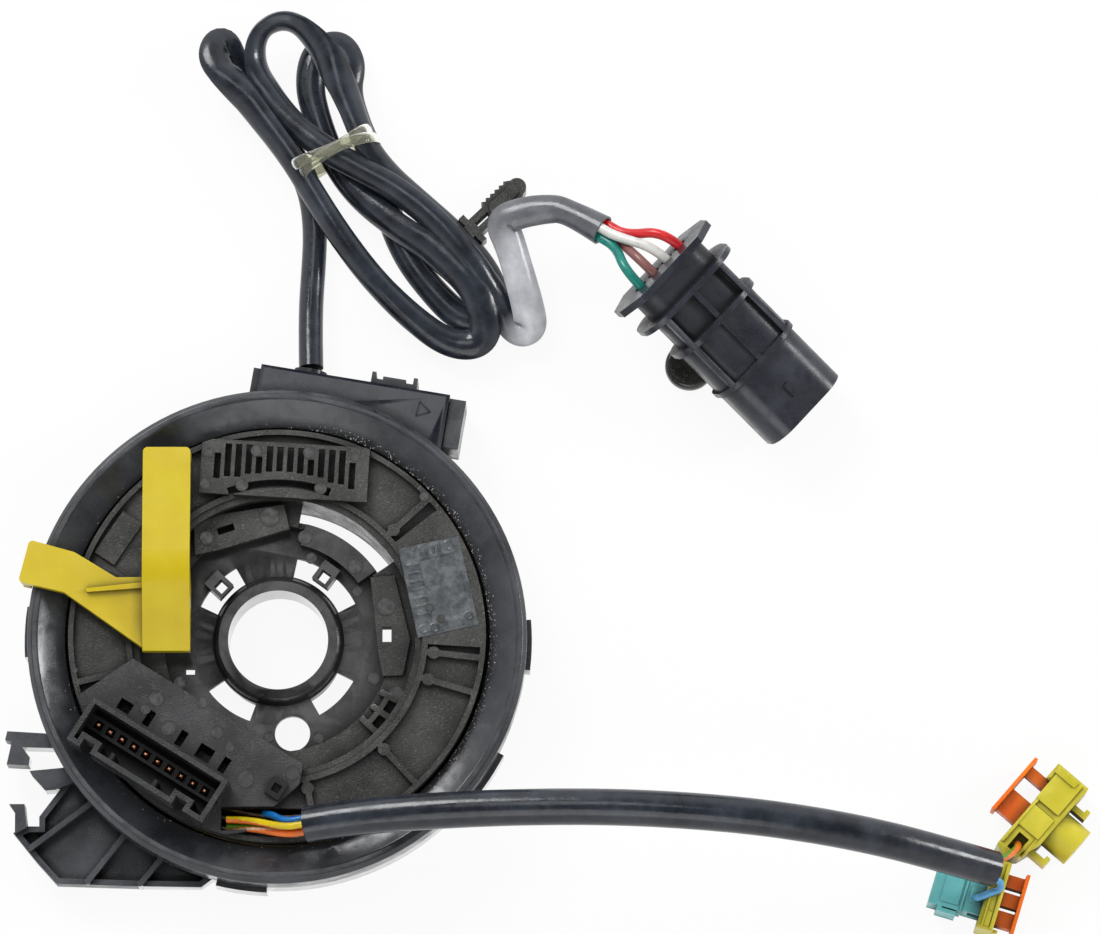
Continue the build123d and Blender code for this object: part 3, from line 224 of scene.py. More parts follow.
filled_nylon = moulding(
    "filled nylon", (0.032, 0.036, 0.043), (0.08, 0.086, 0.098), smooth=0.24, dull=0.42,
    cells=3400.0, depth=0.00006, strength=0.5, reach=0.002, glint_and_dust=0.25,
)
polished_wall, tree, surface, place = shader("polished wall", (0.012, 0.012, 0.014), 0.12, 1.0)
surface.inputs["Coat Roughness"].default_value = 0.06
uneven_gloss(tree, surface, noise(tree, place, 500.0, 3.0, 0.6), 0.4, 0.7, 0.08, 0.3)
moulded("base_housing", filled_nylon, finish=polished_wall, choice=upright_between(49.0, 60.0))

# ---------------------------------------------------------------------
# Flat cable. Copper tracks between two films, wound in a spiral inside
# the cup; only its edge can be seen, through the slot in the rotor.
# ---------------------------------------------------------------------


def finished(node, material):
    """Gives the surface of a CAD node a finish, and leaves its form as it is."""
    nodes[node].data.materials.clear()
    nodes[node].data.materials.append(material)


ribbon = shader("ribbon film", (0.30, 0.19, 0.09), 0.3)[0]
finished("flat_cable", ribbon)

# ---------------------------------------------------------------------
# Ring cover. Snaps over the cup; turned-smooth band, satin from its
# tool, with an eroded chamfer inside that still holds flecks of grease.
# ---------------------------------------------------------------------


def grid_faces(rings):
    """Corner points of a stack of rings, each joined to the next, and a fan over both ends."""
    count, sides = rings.shape[:2]
    i, j = np.meshgrid(np.arange(count - 1), np.arange(sides), indexing="ij")
    j2 = (j + 1) % sides
    near, far = i * sides, (i + 1) * sides
    quads = np.stack([near + j, near + j2, far + j2, far + j], -1).reshape(-1, 4)
    points = np.concatenate([rings.reshape(-1, 3), rings[:1].mean(1), rings[-1:].mean(1)])
    k = np.arange(sides)
    k2 = (k + 1) % sides
    first = np.full(sides, count * sides)
    tail = (count - 1) * sides
    fans = np.concatenate([np.stack([k2, k, first], -1), np.stack([tail + k, tail + k2, first + 1], -1)])
    return points, quads, fans


def make_piece(name, stacks, material, body, sharp=50):
    """One piece out of stacks of rings, riding with a body of the CAD."""
    points, faces, start = [], [], 0
    for rings in stacks:
        own, quads, fans = grid_faces(rings)
        points.append(own)
        faces += (quads + start).tolist() + (fans + start).tolist()
        start += len(own)
    mesh = bpy.data.meshes.new(name)
    mesh.from_pydata(np.concatenate(points), [], faces)
    mesh.materials.append(material)
    sharp_by_angle(mesh, sharp)
    piece = bpy.data.objects.new(name, mesh)
    bpy.context.scene.collection.objects.link(piece)
    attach(piece, body)
    return piece


def turned(x, y, profile, sides=36):
    """Rings of a turned form on an upright axis: each step of the profile is a radius and a height."""
    turn = np.linspace(0, 2 * np.pi, sides, endpoint=False)
    radius, level = np.array(profile, float).T
    rings = np.empty((len(radius), sides, 3))
    rings[..., 0] = x + radius[:, None] * np.cos(turn)
    rings[..., 1] = y + radius[:, None] * np.sin(turn)
    rings[..., 2] = level[:, None]
    return rings * MM


satin_nylon = moulding(
    "satin nylon", (0.018, 0.02, 0.0245), (0.053, 0.0575, 0.066), smooth=0.14, dull=0.34,
    cells=6000.0, depth=0.00002, glint_and_dust=0.12,
)
moulded("ring_cover", satin_nylon, round_mm=0.3)

grease = shader("grease and dust", (0.42, 0.42, 0.4), 0.15, 0.5)[0]
chance = np.random.default_rng(11)
thick_count, thin_count = 430, 90
fleck_count = thick_count + thin_count
fleck_angle = np.radians(
    np.concatenate([chance.uniform(-38, 82, thick_count), chance.uniform(82, 330, thin_count)])
)
chamfer_r, chamfer_level, chamfer_slope = 44.4, 15.8, 0.391
fleck_r = 44.5 + 1.5 * chance.random(fleck_count) ** 1.4
fleck_z = chamfer_level + (fleck_r - chamfer_r) * chamfer_slope
fleck_size = 0.05 + 0.11 * chance.random(fleck_count) ** 2


def fleck(angle, out, level, size):
    """Rings of a small low drop with six sides, at an angle and a distance out from the turning axis."""
    profile = [(0.9 * size, level - 0.4 * size), (size, level + 0.2 * size), (0.5 * size, level + 0.7 * size)]
    return turned(out * math.cos(angle), out * math.sin(angle), profile, sides=6)


flecks = [fleck(*row) for row in zip(fleck_angle, fleck_r, fleck_z, fleck_size)]
make_piece("grease_flecks", flecks, grease, "stator", sharp=60)

# ---------------------------------------------------------------------
# Rotor. Three matte black mouldings that snap together: the ribbed face
# with its drum, the hub with its collar, and the ring that holds them in
# the cup from below. The mould's ejector pins left round marks on them.
# ---------------------------------------------------------------------


def pad(x, y, turn, long, deep, corner, foot, top, lip=0.15):
    """Rings of a raised block: a rounded rectangle that keeps its outline to the lip, then draws in by
    the lip's radius as it rises over a quarter round."""
    arc = np.radians(np.arange(0, 91, 18))
    quarter = np.stack([np.cos(arc), np.sin(arc)], -1)
    swing = np.array([[[1, 0], [0, 1]], [[0, -1], [1, 0]], [[-1, 0], [0, -1]], [[0, 1], [-1, 0]]], float)
    hold = np.array([[1, 1], [-1, 1], [-1, -1], [1, -1]], float)
    ease = np.radians([0, 30, 60, 90])
    steps = [(0, foot)] + [(lip * (1 - math.cos(a)), top - lip + lip * math.sin(a)) for a in ease]
    angle = math.radians(turn)
    spin = np.array([[math.cos(angle), math.sin(angle)], [-math.sin(angle), math.cos(angle)]])
    rings = []
    for draw, level in steps:
        bend = max(corner - draw, 0.02)
        half = np.array([long / 2 - draw - bend, deep / 2 - draw - bend])
        outline = np.concatenate([half * hold[s] + bend * quarter @ swing[s].T for s in range(4)])
        flat = outline @ spin + (x, y)
        rings.append(np.column_stack([flat, np.full(len(flat), level)]))
    return np.array(rings) * MM


def bar(a, b, over, wide, foot, top, lip):
    """Rings of a raised bar: a block centred between two points, turned along the line between them,
    and as long as that line plus what it stands over at its ends."""
    turn = math.degrees(math.atan2(*(b - a)[::-1]))
    return pad(*((a + b) / 2), turn, math.dist(a, b) + over, wide, 0.1, foot, top, lip)


def pin_mark(x, y, level, radius):
    """Rings of a round witness mark: a thin rim that stands proud of the face, and a flat disc within."""
    rim, disc = level + 0.09, level + 0.015
    profile = [(radius, level - 0.3), (radius, rim), (radius - 0.12, rim), (radius - 0.2, disc), (0.1, disc)]
    return turned(x, y, profile)


rotor_nylon = moulding(
    "rotor nylon", (0.0145, 0.0145, 0.0135), (0.062, 0.062, 0.0575), smooth=0.2, dull=0.42,
    cells=2700.0, depth=0.0001, strength=0.75, reach=0.004, glint_and_dust=0.5,
)
for node in ("rotor_retainer", "rotor_face", "terminal_cover"):
    moulded(node, rotor_nylon)
hub_nylon = moulding(
    "hub nylon", (0.010, 0.010, 0.0105), (0.032, 0.032, 0.032), smooth=0.12, dull=0.3,
    strength=0.4, reach=0.004, glint_and_dust=0.15,
)
moulded("rotor_hub", hub_nylon, finish=polished_wall, choice=upright_between(0.0, 11.2))

# place, level of the face that it stands on, and radius of each pin's mark
pin_marks = [
    (-4.5, 38.9, 19.3, 1.2), (6.5, 38.6, 19.3, 1.2), (-14.6, 38.6, 19.3, 1.0), (16.2, 37.6, 19.3, 1.0),
    (-15.2, 31.9, 19.3, 1.1), (-7.5, 31.6, 19.3, 1.3), (9.0, 30.9, 19.3, 1.3), (-1.7, 25.4, 15.4, 2.0),
    (-15.0, 21.0, 15.4, 1.4), (5.6, 21.7, 12.4, 1.5), (6.8, 17.6, 10.2, 1.2), (16.1, 15.5, 12.4, 1.6),
    (16.5, 10.5, 10.2, 1.1), (22.7, 6.7, 14.1, 2.0), (20.0, -8.0, 10.2, 1.4), (24.9, -11.6, 13.2, 1.6),
    (-19.6, 3.6, 10.2, 1.4), (-20.6, -8.9, 10.2, 1.3), (8.6, -20.6, 10.2, 1.2), (-1.8, -20.4, 10.2, 1.1),
    (30.7, 29.4, 18.0, 1.0), (-42.2, -7.5, 18.0, 0.6), (31.9, 5.7, 18.2, 0.9), (34.3, 3.4, 18.2, 0.9),
]
pin_face, tree, surface, place = shader("ejector pin face", (0.03, 0.03, 0.029), 0.2)
uneven_gloss(tree, surface, noise(tree, place, 900.0, 3.0), 0.4, 0.65, 0.14, 0.32)
make_piece("rotor_pin_marks", [pin_mark(*row) for row in pin_marks], pin_face, "rotor", sharp=20)

# bare arrow mark in the pocket on the right: three raised bars
arrow = np.array([(30.2, 23.6), (33.4, 23.6), (31.9, 21.0)])
arrow_bars = [
    bar(a, b, over=0.25, wide=0.25, foot=16.5, top=16.85, lip=0.06)
    for a, b in zip(arrow, np.roll(arrow, -1, axis=0))
]
make_piece("arrow_mark", arrow_bars, rotor_nylon, "rotor")

# ---------------------------------------------------------------------
# Face label. Bare grey film, stuck on the rotor's face and pressed so
# hard that the bars and rims under it stand out; worn by handling.
# ---------------------------------------------------------------------
film, tree, surface, place = shader("worn film", (0.05, 0.06, 0.065), 0.3, 0.25)
worn = spread(tree, noise(tree, place, 420.0, 5.0, 0.7), 0.42, 0.62, 0, 1)
link(tree, two_tone(tree, worn, (0.035, 0.042, 0.048), (0.10, 0.112, 0.118)), surface.inputs["Base Color"])
uneven_gloss(tree, surface, noise(tree, place, 900.0, 3.0, 0.6), 0.4, 0.62, 0.2, 0.5)

label_wide, label_high = 13.0, 19.4
label_u = np.linspace(-label_wide / 2, label_wide / 2, 157)[:, None]
label_v = np.linspace(-label_high / 2, label_high / 2, 235)[None, :]


def raised(u, v, wide, high, rise, soft=0.16):
    """Height of a block under the film: full inside its outline, falling to nothing over the soft width."""
    across = np.clip((wide / 2 - np.abs(label_u - u)) / soft + 0.5, 0, 1)
    upward = np.clip((high / 2 - np.abs(label_v - v)) / soft + 0.5, 0, 1)
    return rise * across * upward


film_thick, film_edge = 0.15, 0.01
film_level = film_thick - raised(1.2, -0.4, 8.2, 13.4, 0.06, 0.5)
# rows of bars: how many, the first one's place, the step to the next, and their width, height and rise
for count, u, v, step_u, step_v, wide, high, rise in (
    (7, -4.2, 5.7, 0.0, -1.78, 2.6, 0.5, 0.09),
    (6, -3.4, 8.1, 1.35, 0.0, 0.45, 1.7, 0.07),
    (4, 0.1, -8.2, 1.1, 0.0, 0.4, 1.5, 0.06),
):
    for number in range(count):
        film_level += raised(u + step_u * number, v + step_v * number, wide, high, rise)
# round rims, each a bell curve of the distance from its circle, and a slight wave of the whole film
for u, v, radius in ((-4.9, -8.1, 0.8), (-2.6, -8.3, 0.85), (4.9, -7.3, 0.8), (3.9, 8.2, 0.9)):
    film_level += 0.09 * np.exp(-(((np.hypot(label_u - u, label_v - v) - radius) / 0.15) ** 2))
film_level += 0.02 * np.sin(label_u * 2.1 + 0.9 * label_v) * np.sin(label_v * 1.3)
film_level[[0, -1], :] = film_edge
film_level[:, [0, -1]] = film_edge
face_level = 18.0
label_out, label_at, label_lean = 35.2, math.radians(16.8), math.radians(12.5)
film_points = np.stack([
    label_out * math.cos(label_at) + label_u * math.cos(label_lean) - label_v * math.sin(label_lean),
    label_out * math.sin(label_at) + label_u * math.sin(label_lean) + label_v * math.cos(label_lean),
    face_level + film_level,
], -1) * MM
rows, columns = film_level.shape
i, j = np.meshgrid(np.arange(rows - 1), np.arange(columns - 1), indexing="ij")
corner = i * columns + j
film_mesh = bpy.data.meshes.new("label_film")
film_mesh.from_pydata(
    film_points.reshape(-1, 3), [],
    np.stack([corner, corner + columns, corner + columns + 1, corner + 1], -1).reshape(-1, 4).tolist(),
)
film_mesh.materials.append(film)
sharp_by_angle(film_mesh, 60)
label_film = bpy.data.objects.new("label_film", film_mesh)
bpy.context.scene.collection.objects.link(label_film)
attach(label_film, "rotor")
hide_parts("face_label")

# ---------------------------------------------------------------------
# Header. Coarse black housing that stands on the face over the cable's
# ends, with a deep dark socket. Ten plated contacts stand in its floor.
# ---------------------------------------------------------------------


def level_between(low, high):
    """Choice of the faces that look up from between two heights."""
    def chosen(centre, normal):
        return (centre[:, 2] > low * MM) & (centre[:, 2] < high * MM) & (normal[:, 2] > 0.9)
    return chosen


header_nylon = moulding(
    "header nylon", (0.0105, 0.011, 0.0115), (0.047, 0.048, 0.051), smooth=0.18, dull=0.4,
    cells=3000.0, depth=0.00007, strength=0.6, reach=0.006, glint_and_dust=0.3,
)
# painted shade: the up-facing floor of the deep socket is coloured near-black where shade falls in it
socket_painted_shade, tree, surface, place = shader("socket painted shade", (0.0015, 0.0015, 0.0018), 0.7)
grain(tree, surface, noise(tree, place, 3600.0), 0.00005, 0.4)
moulded("header_housing", header_nylon, finish=socket_painted_shade, choice=level_between(20.5, 28.5))
plate_level = 19.7
plate_marks = [
    (-27.2, -15.9, 1.1), (-25.0, -13.8, 1.5), (-22.4, -19.9, 1.6), (-12.2, -20.8, 1.4),
    (-9.6, -23.9, 1.1), (-6.2, -30.7, 1.8), (3.6, -29.4, 1.5), (-15.3, -14.6, 1.2),
]
plate_rings = [pin_mark(x, y, plate_level, radius) for x, y, radius in plate_marks]
make_piece("header_pin_marks", plate_rings, pin_face, "rotor", sharp=20)
contact, tree, surface, place = shader("copper contact", (0.78, 0.36, 0.2), 0.26)
surface.inputs["Metallic"].default_value = 1.0
uneven_gloss(tree, surface, noise(tree, place, 2400.0, 3.0, 0.6), 0.4, 0.6, 0.18, 0.45)
finished("header_pins", contact)
finished("plug_pins", contact)

# ---------------------------------------------------------------------
# Transport lock. Bright yellow strap and arm of soft plastic with well
# rounded edges. It stands in a hole of the face and hooks over the ring,
# so nothing can turn until it is pulled off by hand.
# ---------------------------------------------------------------------
lock_yellow = moulding(
    "lock yellow", (0.585, 0.43, 0.0), (0.64, 0.51, 0.002), smooth=0.28, dull=0.4,
    cells=6000.0, depth=0.00002, strength=0.25,
)
lock_surface = lock_yellow.node_tree.nodes["Principled BSDF"]
lock_surface.inputs["Subsurface Weight"].default_value = 0.15
lock_surface.inputs["Subsurface Radius"].default_value = (0.004, 0.003, 0.0005)
lock_surface.inputs["Subsurface Scale"].default_value = 0.6
lock = moulded("transport_lock", lock_yellow, round_mm=0.8)
# the strap's bend is a wide round, not an edge: its edge is found by its distance out and its level
bend_out, bend_level, bend_near = 13.0, 27.0, 0.2
ends = np.empty(len(lock.data.edges) * 2, np.int32)
lock.data.edges.foreach_get("vertices", ends)
lock_points = np.empty(len(lock.data.vertices) * 3)
lock.data.vertices.foreach_get("co", lock_points)
off_bend = np.abs(lock_points.reshape(-1, 3)[:, 1:] - np.array([bend_out, bend_level]) * MM).max(1)
at_bend = off_bend[ends].reshape(-1, 2).max(1) < bend_near * MM
bend = lock.data.attributes.new("bevel_weight_edge", "FLOAT", "EDGE")
bend.data.foreach_set("value", at_bend.astype(np.float32))
sweep = lock.modifiers.new("bend radius", "BEVEL")
sweep.width = 3.6 * MM
sweep.segments = 8
sweep.limit_method = "WEIGHT"
# the bend is rounded first, and the tool's radius then runs along its sides
lock.modifiers.move(1, 0)

# ---------------------------------------------------------------------
# Sensor box and its bracket. A glossy sealed box with a bare triangle on
# its lid, held in a satin snap frame on the cup's back edge.
# ---------------------------------------------------------------------
box_gloss = moulding(
    "box gloss", (0.006, 0.008, 0.015), (0.014, 0.017, 0.027), smooth=0.1, dull=0.2,
    cells=12000.0, depth=0.000005, strength=0.2, glint_and_dust=0.08,
)
moulded("sensor_housing", box_gloss, round_mm=0.3)
moulded("sensor_bracket", satin_nylon)
box_lean = math.radians(-9.5)
box_way = np.array([math.cos(box_lean), math.sin(box_lean)])
box_out = np.array([-box_way[1], box_way[0]])


def on_box(along_box, out_from_axis):
    """Place on the sensor box's lid, along its back edge and out from the turning axis."""
    return box_way * along_box + box_out * out_from_axis


corners = [on_box(20.6, 51.6), on_box(20.9, 54.8), on_box(23.4, 52.9)]
lid_bars = [
    bar(a, b, over=0.2, wide=0.22, foot=13.2, top=13.5, lip=0.05)
    for a, b in zip(corners, corners[1:] + corners[:1])
]
make_piece("lid_mark", lid_bars, box_gloss, "stator")

# ---------------------------------------------------------------------
# Sheathed lead. Soft black vinyl sleeve over four cores, from the sensor
# box through the turns of the tied hank to the four-way plug. It gives
# under its own folds, so it is flat and rolled where it turns.
# ---------------------------------------------------------------------
sleeve_sides = 32


def route(points):
    """Line of a NURBS spline through given points: each stretch is a parabola between middles."""
    curve = bpy.data.curves.new("route", "CURVE")
    curve.dimensions = "3D"
    spline = curve.splines.new("NURBS")
    spline.points.add(len(points) - 1)
    places = np.column_stack([np.asarray(points) * MM, np.ones(len(points))])
    spline.points.foreach_set("co", places.ravel())
    spline.order_u = 3
    spline.use_endpoint_u = True
    spline.resolution_u = 10
    holder = bpy.data.objects.new("route", curve)
    bpy.context.scene.collection.objects.link(holder)
    mesh = bpy.data.meshes.new_from_object(holder)
    line = np.empty(len(mesh.vertices) * 3)
    mesh.vertices.foreach_get("co", line)
    bpy.data.objects.remove(holder)
    bpy.data.curves.remove(curve)
    bpy.data.meshes.remove(mesh)
    return line.reshape(-1, 3)


def along(line):
    """Share of the line's length at each of its points, and the whole length."""
    steps = np.linalg.norm(np.diff(line, axis=0), axis=1)
    run = np.concatenate([[0], np.cumsum(steps)])
    return run / run[-1], run[-1]


def sleeve_rings(line, half_wide, half_high, sides=sleeve_sides, pinch=1.0, roll=0.0):
    """Oval rings square to a line. The wide way lies level, the narrow way stands up, and a point on a
    ring is the middle plus cosine times the wide way plus sine, raised to the pinch, times the narrow
    way: a pinch above 1 draws the sides of a pressed sleeve to an edge. The roll turns the ring about
    the line."""
    way = np.gradient(line, axis=0)
    way /= np.linalg.norm(way, axis=1)[:, None]
    level = np.cross([0, 0, 1.0], way)
    level /= np.linalg.norm(level, axis=1)[:, None]
    rolled = np.broadcast_to(roll, len(line))[:, None]
    level = np.cos(rolled) * level + np.sin(rolled) * np.cross(way, level)
    upright = np.cross(way, level)
    turn = np.linspace(0, 2 * np.pi, sides, endpoint=False)
    wide = np.cos(turn)[None, :, None] * level[:, None] * np.asarray(half_wide)[:, None, None]
    stand = np.sign(np.sin(turn)) * np.abs(np.sin(turn)) ** np.broadcast_to(pinch, len(line))[:, None]
    high = stand[..., None] * upright[:, None] * np.asarray(half_high)[:, None, None]
    return line[:, None] + wide + high


def open_sleeve(line, half_wide, half_high, wall, deep, both, pinch=1.0, roll=0.0):
    """Rings of a cut sleeve: down the inside, over the rounded cut edge, and along the outside,
    with the far end, or both, open so many line points deep."""
    outside = sleeve_rings(line, half_wide, half_high, pinch=pinch, roll=roll)
    inside = sleeve_rings(line, half_wide - wall, half_high - wall, pinch=pinch, roll=roll)
    edge = (outside + inside) / 2
    way = np.gradient(line, axis=0)
    way *= 0.3 * wall / np.linalg.norm(way, axis=1)[:, None]
    tail = [outside, edge[-1:] + way[-1], inside[:-deep:-1]]
    head = [inside[deep:0:-1], inside[:1], edge[:1] - way[0]] if both else []
    return np.concatenate(head + tail)


# place of each point on the lead's line, how far the soft sleeve is pressed flat there, and how many
# degrees its flat side is rolled out of the level
lead_table = np.array([
    (6.4, 59.3, 5.6, 0.0, 0), (6.2, 65.6, 4.4, 0.0, 0), (6.2, 74.0, 3.2, 0.0, 0),
    (6.8, 83.4, 2.8, 0.0, 0), (7.0, 91.0, 2.8, 0.1, 0), (6.0, 98.4, 2.8, 0.2, 0),
    (2.8, 105.4, 2.8, 0.3, 0), (-2.2, 112.4, 2.8, 0.4, 0), (-6.8, 119.4, 3.0, 0.6, 0),
    (-10.6, 126.0, 3.6, 0.9, 0), (-13.2, 131.4, 6.2, 1.0, -10), (-15.4, 125.8, 8.6, 0.9, -20),
    (-9.4, 119.6, 9.0, 0.6, 25), (-3.4, 111.6, 9.0, 0.4, 35), (2.0, 104.4, 9.0, 0.3, 35),
    (6.6, 96.8, 8.8, 0.2, 30), (12.4, 87.6, 8.2, 0.2, 20), (19.4, 78.4, 6.8, 0.2, 10),
    (27.2, 70.8, 5.2, 0.4, 0), (35.4, 64.8, 4.0, 0.7, 0), (42.4, 64.6, 4.6, 1.0, 0),
    (44.0, 70.6, 6.8, 1.0, 0), (40.2, 77.8, 8.2, 0.9, -15), (32.0, 84.6, 8.0, 0.9, -35),
    (23.4, 90.6, 6.8, 0.6, -30), (15.6, 97.8, 4.8, 0.4, -10), (10.4, 106.0, 2.8, 0.3, 0),
    (7.4, 113.8, 2.8, 0.4, 0), (5.4, 121.4, 2.8, 0.6, 0), (6.8, 128.6, 3.0, 0.9, 0),
    (11.6, 130.8, 3.0, 1.0, 0), (14.4, 126.6, 3.0, 0.9, 0), (13.6, 120.2, 2.8, 0.5, 0),
    (16.0, 113.0, 2.8, 0.3, 0), (19.0, 106.4, 2.8, 0.2, 0), (21.4, 99.6, 2.6, 0.2, 0),
    (23.2, 91.6, 2.6, 0.3, 0), (26.8, 83.6, 2.6, 0.4, 0), (32.0, 76.8, 2.6, 0.5, 0),
    (37.6, 71.0, 2.6, 0.7, 0), (43.4, 70.0, 2.6, 0.9, 0), (45.4, 75.6, 2.6, 0.9, 0),
    (42.6, 82.6, 2.8, 0.5, 0), (36.0, 89.6, 3.6, 0.3, 0), (28.8, 95.6, 5.2, 0.3, 0),
    (22.2, 101.4, 7.0, 0.3, 15), (17.6, 107.6, 8.6, 0.3, 30), (15.4, 113.6, 9.2, 0.5, 30),
    (12.4, 121.0, 9.2, 0.8, 15), (8.2, 129.2, 9.2, 0.9, -30), (1.6, 135.2, 9.2, 0.8, -65),
    (-5.2, 132.8, 8.2, 0.8, -75), (-6.4, 125.4, 7.0, 0.9, -50), (-2.4, 118.2, 6.8, 0.6, -30),
    (2.6, 111.6, 7.8, 0.4, -20), (9.2, 106.2, 9.0, 0.2, 0), (17.0, 101.8, 9.2, 0.2, 10),
    (25.2, 97.0, 9.2, 0.3, 25), (33.2, 90.2, 9.2, 0.4, 30), (40.2, 82.2, 8.6, 0.4, 20),
    (44.4, 75.8, 6.4, 0.6, 0), (47.6, 71.2, 3.6, 0.9, 0), (50.6, 67.6, 3.0, 1.0, 0),
    (53.2, 68.4, 4.4, 1.0, 0), (52.4, 72.6, 6.4, 1.0, 0), (50.6, 79.0, 8.0, 0.9, 0),
    (48.6, 85.6, 9.6, 0.8, 0), (46.6, 90.0, 11.0, 1.0, 0), (50.6, 91.6, 12.2, 0.9, 0),
    (56.4, 92.4, 12.8, 0.8, 0), (60.6, 92.0, 13.4, 0.5, 0), (68.2, 87.0, 16.0, 0.0, 0),
])
lead_r = 2.6
lead_line = route(lead_table[:, :3])
lead_share, lead_long = along(lead_line)
line_step, point_step = (np.linspace(0, 1, len(rows)) for rows in (lead_line, lead_table))
pressed = np.interp(line_step, point_step, lead_table[:, 3])
rolled = np.radians(np.interp(line_step, point_step, lead_table[:, 4]))

sheath, tree, surface, place = shader("soft sheath", (0.006, 0.007, 0.010), 0.22)
cloud = spread(tree, noise(tree, place, 160.0, 4.0, 0.6), 0.35, 0.7, 0, 1)
# painted reflection: an attribute lightens the colour where the lead's last stretch faces the lamps
sheen_read = tree.nodes.new("ShaderNodeAttribute")
sheen_read.attribute_name = "painted_sheen"
sleeve_colour = two_tone(tree, cloud, (0.009, 0.0115, 0.017), (0.034, 0.041, 0.056))
sheen_colour = two_tone(tree, cloud, (0.42, 0.43, 0.47), (0.70, 0.71, 0.74))
link(tree, mixed(tree, sheen_read.outputs["Fac"], sleeve_colour, sheen_colour), surface.inputs["Base Color"])
uneven_gloss(tree, surface, noise(tree, place, 300.0, 4.0, 0.65), 0.35, 0.7, 0.13, 0.32)
grain(tree, surface, noise(tree, place, 260.0, 3.0, 0.55), 0.00025, 0.35)

# pressing makes the sleeve wider and lower, and its mouth flares over the cores
mouth_from = 0.985
mouth = np.clip((lead_share - mouth_from) / (1 - mouth_from), 0, 1)
lead_wide = MM * (lead_r * (1 + 0.34 * pressed) + 0.7 * mouth)
lead_high = MM * (lead_r * (1 - 0.42 * pressed) + 0.35 * mouth)
mouth_deep = 9
lead_rings = open_sleeve(
    lead_line, lead_wide, lead_high, wall=0.45 * MM, deep=mouth_deep, both=False,
    pinch=1 + 0.7 * pressed, roll=rolled,
)
lead = make_piece("sheathed_lead", [lead_rings], sheath, "stator")
# the last stretch faces the lamps, so a painted reflection makes it paler than the rest
ring_share = np.concatenate([lead_share, [1.0], lead_share[:-mouth_deep:-1]])
sheen_share = np.interp(ring_share, [0.902, 0.914, 0.946, 0.957, 0.985], [0.0, 1.0, 0.9, 0.28, 0.14])
painted_sheen = lead.data.attributes.new("painted_sheen", "FLOAT", "POINT")
painted_sheen.data.foreach_set("value", np.append(np.repeat(sheen_share, sleeve_sides), [0.0, 0.0]))
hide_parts("sensor_lead", "lead_hank", "plug_lead")

# ---------------------------------------------------------------------
# Tie. A clear soft band wound twice round the hank's waist by hand, the
# two turns crossing on top.
# ---------------------------------------------------------------------
clear_band, tree, surface, place = shader("clear band", (0.66, 0.66, 0.54), 0.14)
surface.inputs["Transmission Weight"].default_value = 0.88
surface.inputs["IOR"].default_value = 1.25
uneven_gloss(tree, surface, noise(tree, place, 250.0), 0.35, 0.65, 0.1, 0.24)
band_turn = math.radians(27.0)
band_across = np.array([math.cos(band_turn), math.sin(band_turn), 0])
band_along = np.array([-math.sin(band_turn), math.cos(band_turn), 0])
band_middle = np.array([11.2, 105.4, 7.2])
band_half_wide, band_half_high = 9.2, 6.3
band_half_thick, band_half_broad = 0.34, 1.25
swing = np.linspace(0, 2 * np.pi, 97)[:-1]
round_section = np.linspace(0, 2 * np.pi, 12, endpoint=False)


def band_turn_rings(slant, swell):
    """Closed strap round the hank. Its middle line is a squared-off oval, cosine and sine to the power
    of 0.7, carried to and fro along the hank by the slant; its section is a flat oval."""
    wide = np.sign(np.cos(swing)) * np.abs(np.cos(swing)) ** 0.7
    high = np.sign(np.sin(swing)) * np.abs(np.sin(swing)) ** 0.7
    middle = (
        band_middle
        + wide[:, None] * band_across * (band_half_wide + swell)
        + high[:, None] * np.array([0, 0, band_half_high + swell])
        + (slant * np.cos(swing))[:, None] * band_along
    )
    outward = np.cos(swing)[:, None] * band_across + np.sin(swing)[:, None] * np.array([0, 0, 1.0])
    thick = band_half_thick * np.sin(round_section)[None, :, None] * outward[:, None]
    broad = band_half_broad * np.cos(round_section)[None, :, None] * band_along
    rings = middle[:, None] + thick + broad
    return np.concatenate([rings, rings[:1]]) * MM


tie_turns = [band_turn_rings(1.3, 0.0), band_turn_rings(-1.3, 0.5)]
tie = make_piece("clear_tie", tie_turns, clear_band, "stator")
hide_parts("lead_band")

# ---------------------------------------------------------------------
# Tree clips. Stiff black nylon, one on the hank and one under the plug,
# each a toothed stem that is pushed into a hole in a panel.
# ---------------------------------------------------------------------
clip_nylon = moulding(
    "clip nylon", (0.008, 0.008, 0.007), (0.06, 0.06, 0.054), smooth=0.14, dull=0.32,
    cells=2600.0, depth=0.00008, strength=0.6, reach=0.002, glint_and_dust=0.5,
)
moulded("tree_clip", clip_nylon, round_mm=0.12)
moulded("plug_tree_clip", clip_nylon, round_mm=0.2)

# ---------------------------------------------------------------------
# Four-way plug. Blue-black nylon body with flanges and an open shroud,
# and the snapped-on rear cover that keeps the seals round the cores.
# ---------------------------------------------------------------------
plug_nylon = moulding(
    "plug nylon", (0.013, 0.0145, 0.022), (0.034, 0.037, 0.052), smooth=0.22, dull=0.4,
    cells=5000.0, strength=0.4, reach=0.004, glint_and_dust=0.12,
)
# the plug lies on the end of the lead
plug_pieces = [
    moulded("plug_body", plug_nylon, round_mm=0.3),
    moulded("plug_retainer", plug_nylon, round_mm=0.35),
]

# ---------------------------------------------------------------------
# Cores. Copper strands in a coloured skin, four from the sheath into
# the plug, four from the rotor's slot into the airbag sleeve, and two
# out of its far end, each crimped in its plug.
# ---------------------------------------------------------------------


def skin(name, colour, gloss=0.3):
    """Coloured insulation, a touch cloudy, with a soft shine."""
    material, tree, surface, place = shader(name, colour, gloss, 0.15)
    dark = tuple(0.8 * c for c in colour)
    cloud = spread(tree, noise(tree, place, 500.0, 3.0), 0.35, 0.65, 0, 1)
    link(tree, two_tone(tree, cloud, dark, colour), surface.inputs["Base Color"])
    surface.inputs["Subsurface Weight"].default_value = 0.05
    surface.inputs["Subsurface Scale"].default_value = 0.001
    return material


